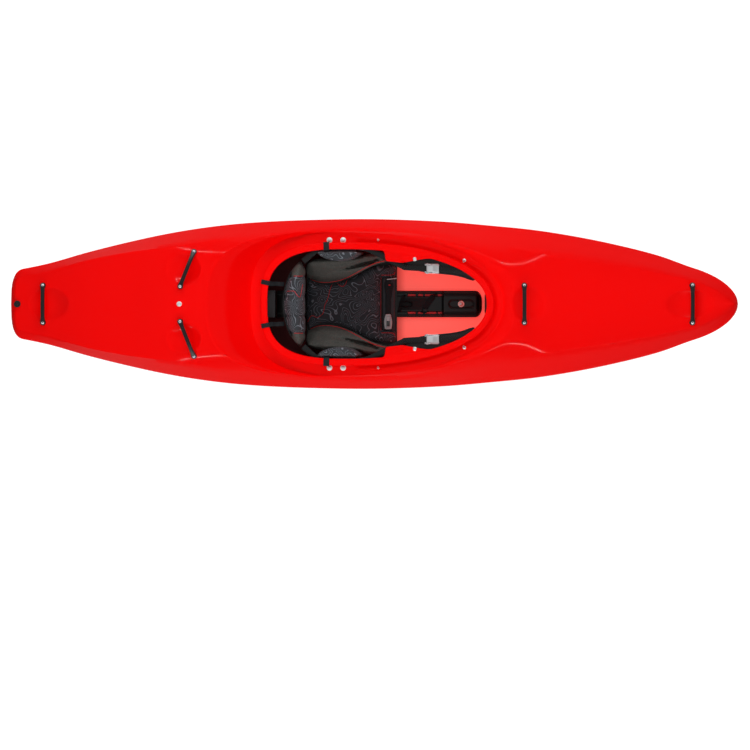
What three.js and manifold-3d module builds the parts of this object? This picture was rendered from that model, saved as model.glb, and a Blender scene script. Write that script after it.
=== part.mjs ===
// Whitewater kayak: a rotomoulded shell with its cockpit outfitting. Millimetres, +X to the bow,
// +Y to port, +Z up. The origin is under the middle of the boat, on the flat of its bottom.
import * as THREE from "three";
import { mergeVertices } from "three/addons/utils/BufferGeometryUtils.js";
import Module from "manifold-3d";

const wasm = await Module();
wasm.setup();

// Driving sizes of the shell
const LENGTH = 2670;
const BEAM = 635;
const DEPTH = 437;
const WALL = 5;
const END_WALL = 14;
const FLAT_REACH = 260;
const OVERRUN = 30;
const GAP = 0.3;
const MERGE_SHARE = 1e-3;
const HALF_LENGTH = LENGTH / 2;
const HALF_BEAM = BEAM / 2;

// Ends, seen from above and from the side
const STERN_ROUND = 50;
const STERN_NOSE = 22;
const STERN_TIP_HEIGHT = 328;
const BOW_ROUND = 150;
const BOW_NOSE = 32;
const BOW_TIP_HEIGHT = 410;

// Shell stations, as shares of the half length, and what they carry, as shares of half beam or depth
const placeShares = [-1, -0.9, -0.79, -0.67, -0.56, -0.45, -0.34, -0.19, 0, 0.19, 0.34, 0.45, 0.56, 0.67, 0.79, 0.9, 1];
const gunwaleBreadthShares = [
  0.386, 0.475, 0.61, 0.738, 0.838, 0.911, 0.958, 0.989, 1, 0.972, 0.92, 0.872, 0.798, 0.703, 0.57, 0.402, 0.316,
];
const creaseBreadthShares = [
  0.29, 0.373, 0.506, 0.601, 0.658, 0.734, 0.797, 0.858, 0.883, 0.832, 0.699, 0.592, 0.516, 0.452, 0.354, 0.237, 0.07,
];
const keelHeightShares = [
  0.698, 0.572, 0.426, 0.279, 0.172, 0.094, 0.039, 0, 0, 0, 0.008, 0.053, 0.13, 0.231, 0.4, 0.602, 0.881,
];
const gunwaleHeightShares = [
  0.75, 0.675, 0.604, 0.554, 0.517, 0.49, 0.462, 0.439, 0.428, 0.435, 0.451, 0.476, 0.503, 0.533, 0.618, 0.742, 0.915,
];
const creaseHeightShares = [
  0.787, 0.805, 0.837, 0.854, 0.847, 0.778, 0.691, 0.632, 0.609, 0.657, 0.716, 0.785, 0.81, 0.817, 0.876, 0.934, 0.977,
];
const deckHeightShares = [
  0.801, 0.826, 0.87, 0.892, 0.924, 0.902, 0.86, 0.755, 0.744, 0.845, 0.915, 0.893, 0.879, 0.892, 0.918, 0.959, 1,
];
const crownPowerShares = [4, 4, 3, 2.6, 2.8, 4, 6, 6, 6, 6, 4, 2.4, 2, 2, 2, 1.8, 1.6];

// Section corners between keel and gunwale: shares of gunwale breadth and height, amidships and at the ends
const bottomEdgeShares = { breadth: 0.68, height: 0, endBreadth: 0.5, endHeight: 0.145 };
const chineShares = { breadth: 0.73, height: 0.2, endBreadth: 0.56, endHeight: 0.35 };
const topsideShares = { breadth: 0.91, height: 0.58, endBreadth: 0.85, endHeight: 0.65 };
const cornerReachShares = [0.3, 0.3, 0.45, 0.12];

// Cockpit rim, seen from above: reaches from its centre to its lip edge, and powers of its two half ovals
const RIM_CENTRE = -100;
const RIM_REAR = 318;
const rimSideShare = 0.715;
const RIM_SIDE = HALF_BEAM * rimSideShare;
const RIM_FRONT = 541;
const rimPowerShares = { rear: 2.95, front: 2.15 };
const RIM_REAR_HEIGHT = 272;
const RIM_FRONT_HEIGHT = 397;
const RIM_RISE = 28;
const RIM_WIDTH = 25;
const LIP_OVERHANG = 19;
const LIP_THICKNESS = 7;
const LEDGE_WIDTH = 37;
const GRIP_REACH = 38;
const GRIP_FALL = 10;
const GRIP_START = 45;
const GRIP_FULL = 105;
const GRIP_FADE = 165;
const GRIP_END = 250;

// Scoop behind the cockpit and flank beside it: where the main deck ends
const SCOOP_REAR = 515;
const scoopSideShare = 0.85;
const SCOOP_SIDE = HALF_BEAM * scoopSideShare;
const SCOOP_FRONT = 615;
const scoopPowerShares = { rear: 2.9, front: 2.6 };
const STERN_SEAM = -470;
const COCKPIT_SEAM = 10;
const BOW_SEAM = 505;
const DECK_REAR_STATION = -650;
const DECK_FRONT_STATION = 580;

const vec = (x, y, z) => new THREE.Vector3(x, y, z);
const mix = (a, b, t) => a + (b - a) * t;
const clamp01 = (t) => Math.min(1, Math.max(0, t));
const ease = (t) => clamp01(t) ** 2 * (3 - 2 * clamp01(t));

// A smooth curve through a table of shares, at place x
function along(shares, x) {
  const u = THREE.MathUtils.clamp(x / HALF_LENGTH, -1, 1);
  const last = placeShares.length - 1;
  let i = 0;
  while (i < last - 1 && u > placeShares[i + 1]) i += 1;
  const slope = (k) => {
    const low = Math.max(k - 1, 0);
    const high = Math.min(k + 1, last);
    return (shares[high] - shares[low]) / (placeShares[high] - placeShares[low]);
  };
  const span = placeShares[i + 1] - placeShares[i];
  const t = (u - placeShares[i]) / span;
  const rise = ease(t);
  const lead = t * (1 - t) ** 2 * span * slope(i);
  const trail = t * t * (t - 1) * span * slope(i + 1);
  return mix(shares[i], shares[i + 1], rise) + lead + trail;
}

// How far an end has rounded at distance d from it, over a radius
const rounding = (d, radius, power) => (1 - (1 - clamp01(d / radius)) ** power) ** (1 / power);
const endBreadth = (x) =>
  rounding(x + HALF_LENGTH, STERN_ROUND, 3) * rounding(HALF_LENGTH - x, BOW_ROUND, 2);

function endHeight(x, z) {
  const stern = rounding(x + HALF_LENGTH, STERN_NOSE, 2);
  const bow = rounding(HALF_LENGTH - x, BOW_NOSE, 2);
  const rounded = mix(STERN_TIP_HEIGHT, z, stern);
  return mix(BOW_TIP_HEIGHT, rounded, bow);
}

const gunwaleBreadth = (x) => HALF_BEAM * along(gunwaleBreadthShares, x) * endBreadth(x);
const creaseBreadth = (x) => HALF_BEAM * along(creaseBreadthShares, x) * endBreadth(x);
const keelHeight = (x) => (Math.abs(x) < FLAT_REACH ? 0 : DEPTH * Math.max(0, along(keelHeightShares, x)));
const creaseHeight = (x) => DEPTH * along(creaseHeightShares, x);

// Rim and its ledge, as ovals about one centre
const oval = (offset) => ({
  rear: RIM_REAR + offset,
  side: RIM_SIDE + offset,
  front: RIM_FRONT + offset,
  power: rimPowerShares,
});
const scoopOval = { rear: SCOOP_REAR, side: SCOOP_SIDE, front: SCOOP_FRONT, power: scoopPowerShares };

// 1 on the oval, less inside and more outside
function ovalLevel(shape, x, y) {
  const isRear = x < RIM_CENTRE;
  const u = Math.abs(x - RIM_CENTRE) / (isRear ? shape.rear : shape.front);
  const power = isRear ? shape.power.rear : shape.power.front;
  return (u ** power + Math.abs(y / shape.side) ** power) ** (1 / power);
}

// The point of the oval on the ray from the rim's centre through x, y
function onOval(shape, x, y) {
  const level = ovalLevel(shape, x, y);
  return [RIM_CENTRE + (x - RIM_CENTRE) / level, y / level];
}

function rimHeight(x) {
  const s = (x - RIM_CENTRE + RIM_REAR) / (RIM_REAR + RIM_FRONT);
  return mix(RIM_REAR_HEIGHT, RIM_FRONT_HEIGHT, s);
}

// Main deck between its creases, without the cockpit's scoop
function mainDeckHeight(x, y) {
  const edge = creaseHeight(x);
  const centre = DEPTH * along(deckHeightShares, x);
  const t = Math.min(1, Math.abs(y) / Math.max(creaseBreadth(x), WALL));
  return edge + (centre - edge) * (1 - t ** along(crownPowerShares, x));
}

// Deck with the scoop that falls to the ledge round the rim
function deckHeight(x, y) {
  const outLedge = ovalLevel(oval(LEDGE_WIDTH), x, y) - 1;
  const inScoop = 1 - ovalLevel(scoopOval, x, y);
  const main = mainDeckHeight(x, y);
  if (inScoop <= 0) return endHeight(x, main);
  const ledge = rimHeight(x) - RIM_RISE;
  return outLedge <= 0 ? ledge : mix(ledge, main, outLedge / (outLedge + inScoop));
}

// Half a section from keel to deck crease, as points with rounded corners; inset thins it by the wall
function sideSection(x, samples, inset) {
  const u2 = Math.max(0, (x * x - FLAT_REACH ** 2) / (HALF_LENGTH ** 2 - FLAT_REACH ** 2));
  const breadth = HALF_BEAM * along(gunwaleBreadthShares, x);
  const keel = keelHeight(x);
  const gunwale = DEPTH * along(gunwaleHeightShares, x);
  const corner = (c) => [
    breadth * mix(c.breadth, c.endBreadth, u2),
    mix(keel, gunwale, mix(c.height, c.endHeight, u2)),
  ];
  const outer = [[0, keel], corner(bottomEdgeShares), corner(chineShares), corner(topsideShares)];
  outer.push([breadth, gunwale], [HALF_BEAM * along(creaseBreadthShares, x), creaseHeight(x)]);
  const insets = [[0, 1], [0.4, 1], [0.9, 0.6], [1, 0.4], [1, 0], [1, -1]];
  const controls = outer.map(([y, z], i) => [
    Math.max(y * endBreadth(x) - inset * insets[i][0], 0),
    endHeight(x, z) + inset * insets[i][1],
  ]);
  const blend = (a, b, t) => [mix(a[0], b[0], t), mix(a[1], b[1], t)];
  const points = [controls[0]];
  for (let c = 1; c < controls.length - 1; c += 1) {
    const reach = cornerReachShares[c - 1];
    const from = blend(controls[c], controls[c - 1], reach);
    const to = blend(controls[c], controls[c + 1], reach);
    for (let k = 0; k < samples; k += 1) {
      const t = samples > 1 ? k / (samples - 1) : 1 / 2;
      points.push(blend(blend(from, controls[c], t), blend(controls[c], to, t), t));
    }
  }
  points.push(controls[controls.length - 1]);
  return points.map(([y, z]) => vec(x, y, z));
}

const mirrored = (p) => vec(p.x, -p.y, p.z);

// One hull row: starboard crease, keel, port crease
function hullRow(x, samples, inset) {
  const port = sideSection(x, samples, inset);
  return [...port.slice(1).reverse().map(mirrored), ...port];
}

// One deck row from port crease to starboard crease
function deckRow(x, count, inset) {
  const port = sideSection(x, 1, inset).pop();
  return Array.from({ length: count + 1 }, (_, k) => {
    if (k === 0) return port;
    if (k === count) return mirrored(port);
    const y = port.y * Math.cos((Math.PI * k) / count);
    return vec(x, y, deckHeight(x, y) - inset);
  });
}

// Stations: closer together towards both ends
function spread(from, to, count, bias) {
  return Array.from({ length: count + 1 }, (_, k) => mix(from, to, bias(k / count)));
}
const sternStations = spread(-HALF_LENGTH, DECK_REAR_STATION, 11, (t) => t ** 1.7);
const middleStations = spread(DECK_REAR_STATION, DECK_FRONT_STATION, 21, (t) => t);
const bowStations = spread(DECK_FRONT_STATION, HALF_LENGTH, 12, (t) => 1 - (1 - t) ** 1.7);
const OUTER_SAMPLES = 3;
const DECK_COLUMNS = 8;

// Outer or inner skin of hull and decks, as grids of points whose rows run from stern to bow
function skinGrids(inset) {
  const within = (x) => inset === 0 || Math.abs(x) < HALF_LENGTH - END_WALL;
  const ends = inset === 0 ? [] : [HALF_LENGTH - END_WALL];
  const stern = [...ends.map((x) => -x), ...sternStations.filter(within)];
  const bow = [...bowStations.filter(within), ...ends];
  const all = [...stern, ...middleStations.slice(1, -1), ...bow];
  const hull = all.map((x) => hullRow(x, inset === 0 ? OUTER_SAMPLES : 1, inset));
  const sternDeck = stern.map((x) => deckRow(x, DECK_COLUMNS, inset));
  const bowDeck = bow.map((x) => deckRow(x, DECK_COLUMNS, inset));
  if (inset > 0) {
    const sternCap = vec(stern[0], 0, STERN_TIP_HEIGHT);
    const bowCap = vec(bow[bow.length - 1], 0, BOW_TIP_HEIGHT);
    hull.unshift(hull[0].map(() => sternCap));
    hull.push(hull[0].map(() => bowCap));
    sternDeck.unshift(sternDeck[0].map(() => sternCap));
    bowDeck.push(bowDeck[0].map(() => bowCap));
  }
  const middle = middleStations.map((x) => sideSection(x, 1, inset).pop());
  const ring = [
    ...middle.slice().reverse(),
    ...sternDeck[sternDeck.length - 1].slice(1, -1),
    ...middle.map(mirrored),
    ...bowDeck[0].slice(1, -1).reverse(),
  ];
  ring.push(ring[0]);
  return { hull, sternDeck, bowDeck, ring };
}

const gripDepth = (x) =>
  GRIP_REACH * ease((x - GRIP_START) / (GRIP_FULL - GRIP_START)) * ease((GRIP_END - x) / (GRIP_END - GRIP_FADE));

// One column of the cockpit deck: from the outer skin in to the rim, over its lip and back under the deck
function cockpitColumn(outer, inner) {
  const at = (shape, height) => {
    const [x, y] = onOval(shape, outer.x, outer.y);
    return vec(x, y, height(x, y));
  };
  const below = (drop) => (x) => rimHeight(x) - drop;
  const [lipX] = onOval(oval(0), outer.x, outer.y);
  const grip = gripDepth(lipX);
  const fall = (GRIP_FALL * grip) / GRIP_REACH;
  const edge = -RIM_WIDTH - grip;
  const half = (a, b) => vec((a.x + b.x) / 2, (a.y + b.y) / 2, 0);
  const deckAt = (p, inset) => vec(p.x, p.y, deckHeight(p.x, p.y) - inset);
  const scoop = at(scoopOval, deckHeight);
  const ledge = at(oval(LEDGE_WIDTH), deckHeight);
  const underScoop = vec(scoop.x, scoop.y, scoop.z - WALL);
  const underLedge = vec(ledge.x, ledge.y, ledge.z - WALL);
  return [
    outer,
    deckAt(half(outer, scoop), 0),
    scoop,
    deckAt(half(scoop, ledge), 0),
    ledge,
    at(oval(-LIP_OVERHANG), below(RIM_RISE)),
    at(oval(-LIP_OVERHANG), below(LIP_THICKNESS)),
    at(oval(0), below(LIP_THICKNESS)),
    at(oval(0), below(LIP_THICKNESS / 3)),
    at(oval(-LIP_THICKNESS / 3), below(0)),
    at(oval(LIP_THICKNESS / 3 - RIM_WIDTH), below(0)),
    at(oval(edge), below(LIP_THICKNESS / 3 + fall)),
    at(oval(edge), below(LIP_THICKNESS + fall)),
    at(oval(-RIM_WIDTH), below(LIP_THICKNESS + WALL / 2 + fall)),
    at(oval(-RIM_WIDTH), below(RIM_RISE + WALL)),
    underLedge,
    deckAt(half(scoop, ledge), WALL),
    underScoop,
    deckAt(half(inner, scoop), WALL),
    inner,
  ];
}

// Triangles of a grid of points; turned is for a grid whose row times column points into the solid
function gridTriangles(grid, turned) {
  const triangles = [];
  for (let i = 0; i < grid.length - 1; i += 1) {
    for (let j = 0; j < grid[i].length - 1; j += 1) {
      const [a, b, c, d] = [grid[i][j], grid[i + 1][j], grid[i + 1][j + 1], grid[i][j + 1]];
      triangles.push(...(turned ? [a, c, b, a, d, c] : [a, b, c, a, c, d]));
    }
  }
  return triangles;
}

// A geometry from loose triangles, with shared points merged and empty triangles dropped
function skin(points) {
  const loose = new THREE.BufferGeometry().setFromPoints(points);
  const merged = mergeVertices(loose, MERGE_SHARE);
  const index = [];
  for (let i = 0; i < merged.index.count; i += 3) {
    const [a, b, c] = [0, 1, 2].map((k) => merged.index.getX(i + k));
    if (a !== b && b !== c && c !== a) index.push(a, b, c);
  }
  return merged.setIndex(index);
}

// A manifold solid, facing out whichever way its profile was drawn
function solid(geometry) {
  const bare = geometry.clone();
  bare.deleteAttribute("normal");
  bare.deleteAttribute("uv");
  const merged = mergeVertices(bare, MERGE_SHARE);
  const vertProperties = new Float32Array(merged.attributes.position.array);
  const triVerts = new Uint32Array(merged.index.array);
  const made = new wasm.Manifold(new wasm.Mesh({ numProp: 3, vertProperties, triVerts }));
  if (made.volume() >= 0) return made;
  return new wasm.Manifold(new wasm.Mesh({ numProp: 3, vertProperties, triVerts: triVerts.reverse() }));
}

function geometryOf(manifold) {
  const mesh = manifold.getMesh();
  const geometry = new THREE.BufferGeometry();
  geometry.setAttribute("position", new THREE.BufferAttribute(new Float32Array(mesh.vertProperties), 3));
  return geometry.setIndex(Array.from(mesh.triVerts));
}

function shellSolids() {
  const outer = skinGrids(0);
  const inner = skinGrids(WALL);
  const columns = outer.ring.map((p, k) => cockpitColumn(p, inner.ring[k]));
  const rows = columns[0].map((_, r) => columns.map((column) => column[r]));
  const outside = [outer.hull, outer.sternDeck, outer.bowDeck].flatMap((g) => gridTriangles(g, true));
  const inside = [inner.hull, inner.sternDeck, inner.bowDeck].flatMap((g) => gridTriangles(g, false));
  const shell = solid(skin([...outside, ...gridTriangles(rows, true), ...inside]));
  const DECK_ROWS = 6;
  const lid = rows[DECK_ROWS - 1].map(() => vec(RIM_CENTRE, 0, rimHeight(RIM_CENTRE) - RIM_RISE));
  const closed = solid(skin([...outside, ...gridTriangles([...rows.slice(0, DECK_ROWS), lid], true)]));
  return { shell, closed };
}

// Bolts: head, shank and clearance
const BOLT_HEAD = 7;
const BOLT_HEAD_HEIGHT = 4;
const BOLT_SHANK = 3;
const WASHER = 11;
const WASHER_THICKNESS = 1.5;
const PILLAR_BOLT_HEAD = 12;
const BOLT_SIDES = 8;

// Grab handles: bar, its screws and the hand recess under it
const HANDLE_SPAN = 136;
const HANDLE_WIDTH = 16;
const HANDLE_THICKNESS = 9;
const HANDLE_FOOT_LIFT = 6;
const HANDLE_ARCH = 13;
const HANDLE_SCREW = 5;
const HANDLE_SCREW_DEPTH = 16;
const HANDLE_HEAD = 6;
const BOWL_DEPTH = 24;
// Places as shares of half length and half beam; the recess's shift and reach as shares of the span
const handleShares = [
  { name: "stern_handle", x: -0.91, y: 0, turn: 0, shift: 0.154, reach: [0.544, 0.434] },
  { name: "rear_port_handle", x: -0.5124, y: 0.4031, turn: 0.37, shift: -0.074, reach: [0.456, 0.412] },
  { name: "rear_starboard_handle", x: -0.5124, y: -0.4031, turn: -0.37, shift: -0.074, reach: [0.456, 0.412] },
  { name: "front_handle", x: 0.4142, y: 0, turn: 0, shift: 0.088, reach: [0.463, 0.441] },
  { name: "bow_handle", x: 0.8749, y: 0, turn: 0, shift: -0.088, reach: [0.625, 0.382] },
];
const handlePointShares = [0, 0.06, 0.2, 0.35, 0.5, 0.65, 0.8, 0.94, 1];

// Drain plug
const PLUG_FROM_STERN = 25;
const PLUG_X = PLUG_FROM_STERN - HALF_LENGTH;
const PLUG_HEAD = 12;
const PLUG_HEAD_HEIGHT = 6;
const PLUG_SHANK = 7;
const PLUG_LENGTH = 16;
const SEAL_THICKNESS = 2;

// Centre tray, its nose, and the two foam pillars
const TRAY_REAR = -262;
const TRAY_FRONT = 261;
const TRAY_TAIL = 100;
const TRAY_HALF_WIDTH = 50;
const TRAY_SIDE = 9;
const TRAY_FLOOR = 6;
const TRAY_HEIGHT = 34;
const TRAY_SLOT_WIDTH = 8;
const traySlotShares = [[0.498, 0.605], [0.743, 0.904], [0.644, 0.713], [0.927, 0.981]];
const trayFootShares = [-0.912, -0.23, 0.307];
const NOSE_FRONT = 408;
const NOSE_BOLT_X = 329;
const NOSE_RECESS_LENGTH = 92;
const NOSE_RECESS_WIDTH = 28;
const NOSE_RECESS_DEPTH = 4;
const FRONT_PILLAR = { rear: 418, front: 498, halfWidth: 34, steps: 4 };
const REAR_PILLAR = { rear: -1010, front: -366, halfWidth: 50, steps: 20 };
const rearBoltShare = -0.5333;
const REAR_BOLT_X = HALF_LENGTH * rearBoltShare;
const SKIN_CLEARANCE = 1;
const CEILING_CLEARANCE = 5;
const CEILING_SPREAD = 40;

// Seat: pan on the tray, cushion and hip pads on the pan, lifter at its front
const SEAT_REAR = -255;
const SEAT_FRONT = 86;
const PAN_THICKNESS = 16;
const TONGUE_DROP = 14;
const TONGUE_CLEARANCE = 2;
const CUSHION_HEIGHT = 40;
const CUSHION_CROWN = 9;
const HIP_INNER_RISE = 44;
const HIP_OUTER_RISE = 158;
const HIP_FRONT_SHARE = 0.42;
const SEAT_LENGTH = SEAT_FRONT - SEAT_REAR;
const seatWidthShare = 0.595;
const SEAT_HALF_WIDTH = HALF_BEAM * seatWidthShare;
const cushionShares = [
  [0, 0], [0, 0.392], [0.029, 0.46], [0.337, 0.471], [0.566, 0.582], [0.783, 0.751], [0.953, 0.804], [1, 0.73], [1, 0.37], [1, 0],
];
const hipPadShares = [
  [0.026, 0.497], [0.173, 0.487], [0.337, 0.492], [0.566, 0.603], [0.783, 0.772], [0.894, 0.847], [0.994, 0.878], [1.006, 0.942],
  [0.988, 1], [0.848, 1], [0.701, 0.894], [0.572, 0.873], [0.337, 0.873], [0.123, 0.873], [0.026, 0.825], [0.015, 0.661],
];
const panShares = [
  [0.015, 0], [0.015, 0.847], [0.572, 0.868], [0.748, 0.952], [0.812, 0.995], [0.994, 0.995], [1.012, 0.931], [1.006, 0.635], [1.006, 0],
];
const padRingShares = [[0.95, 0], [1, 0.18], [0.965, 0.45], [1, 0.72], [0.94, 0.93], [0.8, 1]];
const padCrownShares = [[0.45, 0.7], [0.1, 1]];
const LIFTER_REAR = 35;
const LIFTER_FRONT = 80;
const LIFTER_HALF_WIDTH = 98;
const LIFTER_THICKNESS = 16;
const LIFTER_TOP_DROP = 2;
const LIFTER_STRAP = [39, 62];
const LIFTER_STRAP_INSET = 4;
const STRAP_THICKNESS = 2;
const BUCKLE = { x: [40, 69], y: [-94, -39], height: 7, rail: 6 };

// Rim-borne pieces, in the rim's own sloping frame: x along it, z up from its top
const hipBoltShares = [["rear", -0.566], ["front", -0.406]];
const RIM_BOLT_OUT = 9;
const RIM_BOLT_Y = RIM_SIDE + RIM_BOLT_OUT;
const HIP_SLAB_INNER = 57;
const HIP_SLAB_OUTER = 35;
const HIP_SLAB = { x: [-225, -71], y: [RIM_SIDE - HIP_SLAB_INNER, RIM_SIDE - HIP_SLAB_OUTER], foot: -205, top: 4 };
const hipFaceShares = [
  [0.14, 0], [0.86, 0], [1, 0.16], [0.93, 0.95], [0.79, 1], [0.21, 1], [0.07, 0.95], [0, 0.16],
];
const HIP_FLANGE_OUT = 20;
const HIP_FLANGE = { x: [-212, -84], y: RIM_SIDE + HIP_FLANGE_OUT, top: -34, thickness: 6 };
const BRACE_DROP = 52;
const BRACE_THICKNESS = 5;
const BRACE_TRAVEL = 12;
const THIGH_PAD_THICKNESS = 11;
const FLANGE_BOLT_X = 2;
const slotBoltShares = [0.2606, 0.7313];
const frontBoltShares = [0.5952, 0.7048];
const SLOT_OVAL_LENGTH = 78;
const SLOT_OVAL_HALF_WIDTH = 12;
const GRIP_TOP_DROP = 5;
const BRACE_REAR = -14;
const BRACE_LENGTH = 374;
const BRACE_OUT = RIM_SIDE + 23;
const braceShares = [
  [0, 0.904], [0.144, 0.784], [0.267, 0.632], [0.439, 0.488], [0.797, 0.42], [0.979, 0.344], [1, 0.448], [0.936, 0.712],
  [0.813, 0.768], [0.545, 0.86], [0.278, 0.96], [0, 1],
];
const RATCHET = { x: [172, 226], half: 18, plate: 3, cheek: 3, height: 14, pivot: 182 };
const LADDER_THICKNESS = 2.4;
const LADDER_DROP = BRACE_DROP - RATCHET.plate - 2 * GAP - LADDER_THICKNESS / 2;
// Route of a ladder strap from the backband out past the hip plate and in to its ratchet, as shares of its
// length and of the brace's outer edge
const ladderShares = [
  [0, 0.632], [0.075, 0.79], [0.11, 0.84], [0.34, 0.836], [0.42, 0.79], [0.6, 0.57], [0.66, 0.536], [1, 0.496],
];
const LADDER = { rear: -282, front: 330, width: 22, thickness: LADDER_THICKNESS, drop: LADDER_DROP };

// Backband
const bandWidthShare = 0.504;
const BAND_HALF_WIDTH = HALF_BEAM * bandWidthShare;
const BAND_REAR = -331;
const BAND_FRONT = -264;
const BAND_SWEEP = 52;
const BAND_WING_REACH = 6;
const BAND_PINCH = 3;
const BAND_CROWN = 4;
const BAND_FOOT = 116;
const BAND_TOP = 318;
const BAND_WING_DROP = 34;
const BAND_PLATE_THICKNESS = 4;

// Footrest: rails on the hull sides, plate with foam, clamp knobs
const RAIL_REAR = 540;
const RAIL_LENGTH = 175;
const RAIL_STAND_OFF = 25;
const RAIL_THICKNESS = 10;
const RAIL_HEIGHT = 24;
const RAIL_Z = 175;
const hullBoltShares = [0.4, 0.68];
const BULKHEAD_X = 640;
const BULKHEAD_THICKNESS = 6;
const bulkheadWidthShare = 0.4724;
const BULKHEAD_HALF_WIDTH = HALF_BEAM * bulkheadWidthShare;
const BULKHEAD_FOOT = 88;
const BULKHEAD_TOP = 318;
const BULKHEAD_FOAM = 36;
const KNOB = 16;
const KNOB_LENGTH = 22;
const KNOB_LOBES = 10;

const X_AXIS = vec(1, 0, 0);
const Y_AXIS = vec(0, 1, 0);
const Z_AXIS = vec(0, 0, 1);
const RIM_TILT = Math.atan2(RIM_FRONT_HEIGHT - RIM_REAR_HEIGHT, RIM_REAR + RIM_FRONT);
const RIM_MIDDLE = RIM_CENTRE + (RIM_FRONT - RIM_REAR) / 2;
const RIM_MIDDLE_HEIGHT = (RIM_REAR_HEIGHT + RIM_FRONT_HEIGHT) / 2;

// Finishes
const finish = (color, roughness, metalness) =>
  new THREE.MeshStandardMaterial({ color, roughness, metalness });
const finishes = {
  shell: finish("#f20404", 0.3, 0),
  plastic: finish("#1b1c1e", 0.5, 0),
  webbing: finish("#26282a", 0.9, 0),
  steel: finish("#c9cbce", 0.25, 1),
  fabric: finish("#2a2c31", 0.95, 0),
  mesh: finish("#5a5a56", 0.95, 0),
  foam: finish("#2c2d2f", 0.9, 0),
  rubber: finish("#151515", 0.8, 0),
};

const kayak = new THREE.Group();
function add(name, manifold, material) {
  const mesh = new THREE.Mesh(geometryOf(manifold), material);
  mesh.name = name;
  kayak.add(mesh);
  return manifold;
}

// A turned body whose profile of [radius, height] pairs stands at a point along an axis
function turned(profile, foot, axis, sides = BOLT_SIDES) {
  const points = profile.map(([r, h]) => new THREE.Vector2(r, h));
  const turn = new THREE.Quaternion().setFromUnitVectors(Y_AXIS, axis);
  return new THREE.LatheGeometry(points, sides).applyQuaternion(turn).translate(foot.x, foot.y, foot.z);
}

const rod = (radius, low, high) => [[0, low], [radius, low], [radius, high], [0, high]];
const boltProfile = (head, length, washer) => [
  [0, -length],
  [BOLT_SHANK, -length],
  [BOLT_SHANK, GAP],
  [washer, GAP],
  [washer, GAP + WASHER_THICKNESS],
  [head, GAP + WASHER_THICKNESS],
  [head, GAP + BOLT_HEAD_HEIGHT / 2],
  [head * 0.7, GAP + BOLT_HEAD_HEIGHT],
  [0, GAP + BOLT_HEAD_HEIGHT],
];

function block(low, high) {
  const size = high.clone().sub(low);
  const middle = low.clone().add(high).divideScalar(2);
  return new THREE.BoxGeometry(size.x, size.y, size.z).translate(middle.x, middle.y, middle.z);
}

function slab(outline, low, high) {
  const shape = new THREE.Shape(outline.map(([x, y]) => new THREE.Vector2(x, y)));
  return new THREE.ExtrudeGeometry(shape, { depth: high - low, bevelEnabled: false }).translate(0, 0, low);
}

const inRim = (geometry) => geometry.rotateY(-RIM_TILT).translate(RIM_MIDDLE, 0, RIM_MIDDLE_HEIGHT);
const toSide = (geometry, side) => (side > 0 ? geometry : geometry.scale(1, -1, 1));
const sideName = (side) => (side > 0 ? "port" : "starboard");

// A closed body from rings of points, each end drawn to its own middle
function loft(rings) {
  const middle = (ring) => ring.reduce((sum, p) => sum.add(p), vec(0, 0, 0)).divideScalar(ring.length);
  const closedRings = rings.map((ring) => [...ring, ring[0]]);
  const cap = (ring) => closedRings[0].map(() => middle(ring));
  return skin(gridTriangles([cap(rings[0]), ...closedRings, cap(rings[rings.length - 1])], false));
}

// A bar along points, whose section is a list of [across, up] pairs
function bar(points, section, across) {
  const rings = points.map((p, i) => {
    const next = points[Math.min(i + 1, points.length - 1)];
    const ahead = next.clone().sub(points[Math.max(i - 1, 0)]).normalize();
    const up = ahead.clone().cross(across).normalize();
    return section.map(([a, b]) => p.clone().addScaledVector(across, a).addScaledVector(up, b));
  });
  return loft(rings);
}

function roundedSection(width, height, cut) {
  const [w, h] = [width / 2, height / 2];
  return [
    [w, h - cut], [w - cut, h], [cut - w, h], [-w, h - cut],
    [-w, cut - h], [cut - w, -h], [w - cut, -h], [w, cut - h],
  ];
}

// A stuffed pad: outline, a flat foot, drawn-in sides and a crowned top
function pad(outline, foot, topAt) {
  const total = outline.reduce((sum, [x, y]) => [sum[0] + x, sum[1] + y], [0, 0]);
  const centre = total.map((v) => v / outline.length);
  const ring = (scale, heightAt) =>
    outline.map(([x, y]) => {
      const [px, py] = [mix(centre[0], x, scale), mix(centre[1], y, scale)];
      return vec(px, py, heightAt(px, py));
    });
  return loft([
    ...padRingShares.map(([scale, share]) => ring(scale, (x, y) => mix(foot, topAt(x, y), share))),
    ...padCrownShares.map(([scale, share]) => ring(scale, (x, y) => topAt(x, y) + CUSHION_CROWN * share)),
  ]);
}

// Outline points from shares of a length from its start, and of a half width
const outlineOf = (shares, start, length, halfWidth) =>
  shares.map(([x, y]) => [start + length * x, halfWidth * y]);
const pairedOutline = (half) => [...half, ...half.slice(1, -1).reverse().map(([x, y]) => [x, -y])];

// Height of the inner floor, and of the underside of the main deck
function floorAt(x, y) {
  const [keel, edge] = sideSection(x, 1, WALL);
  return mix(keel.z, edge.z, clamp01(Math.abs(y) / edge.y));
}
const ceilingAt = (x, y) => deckHeight(x, y) - WALL;

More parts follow.
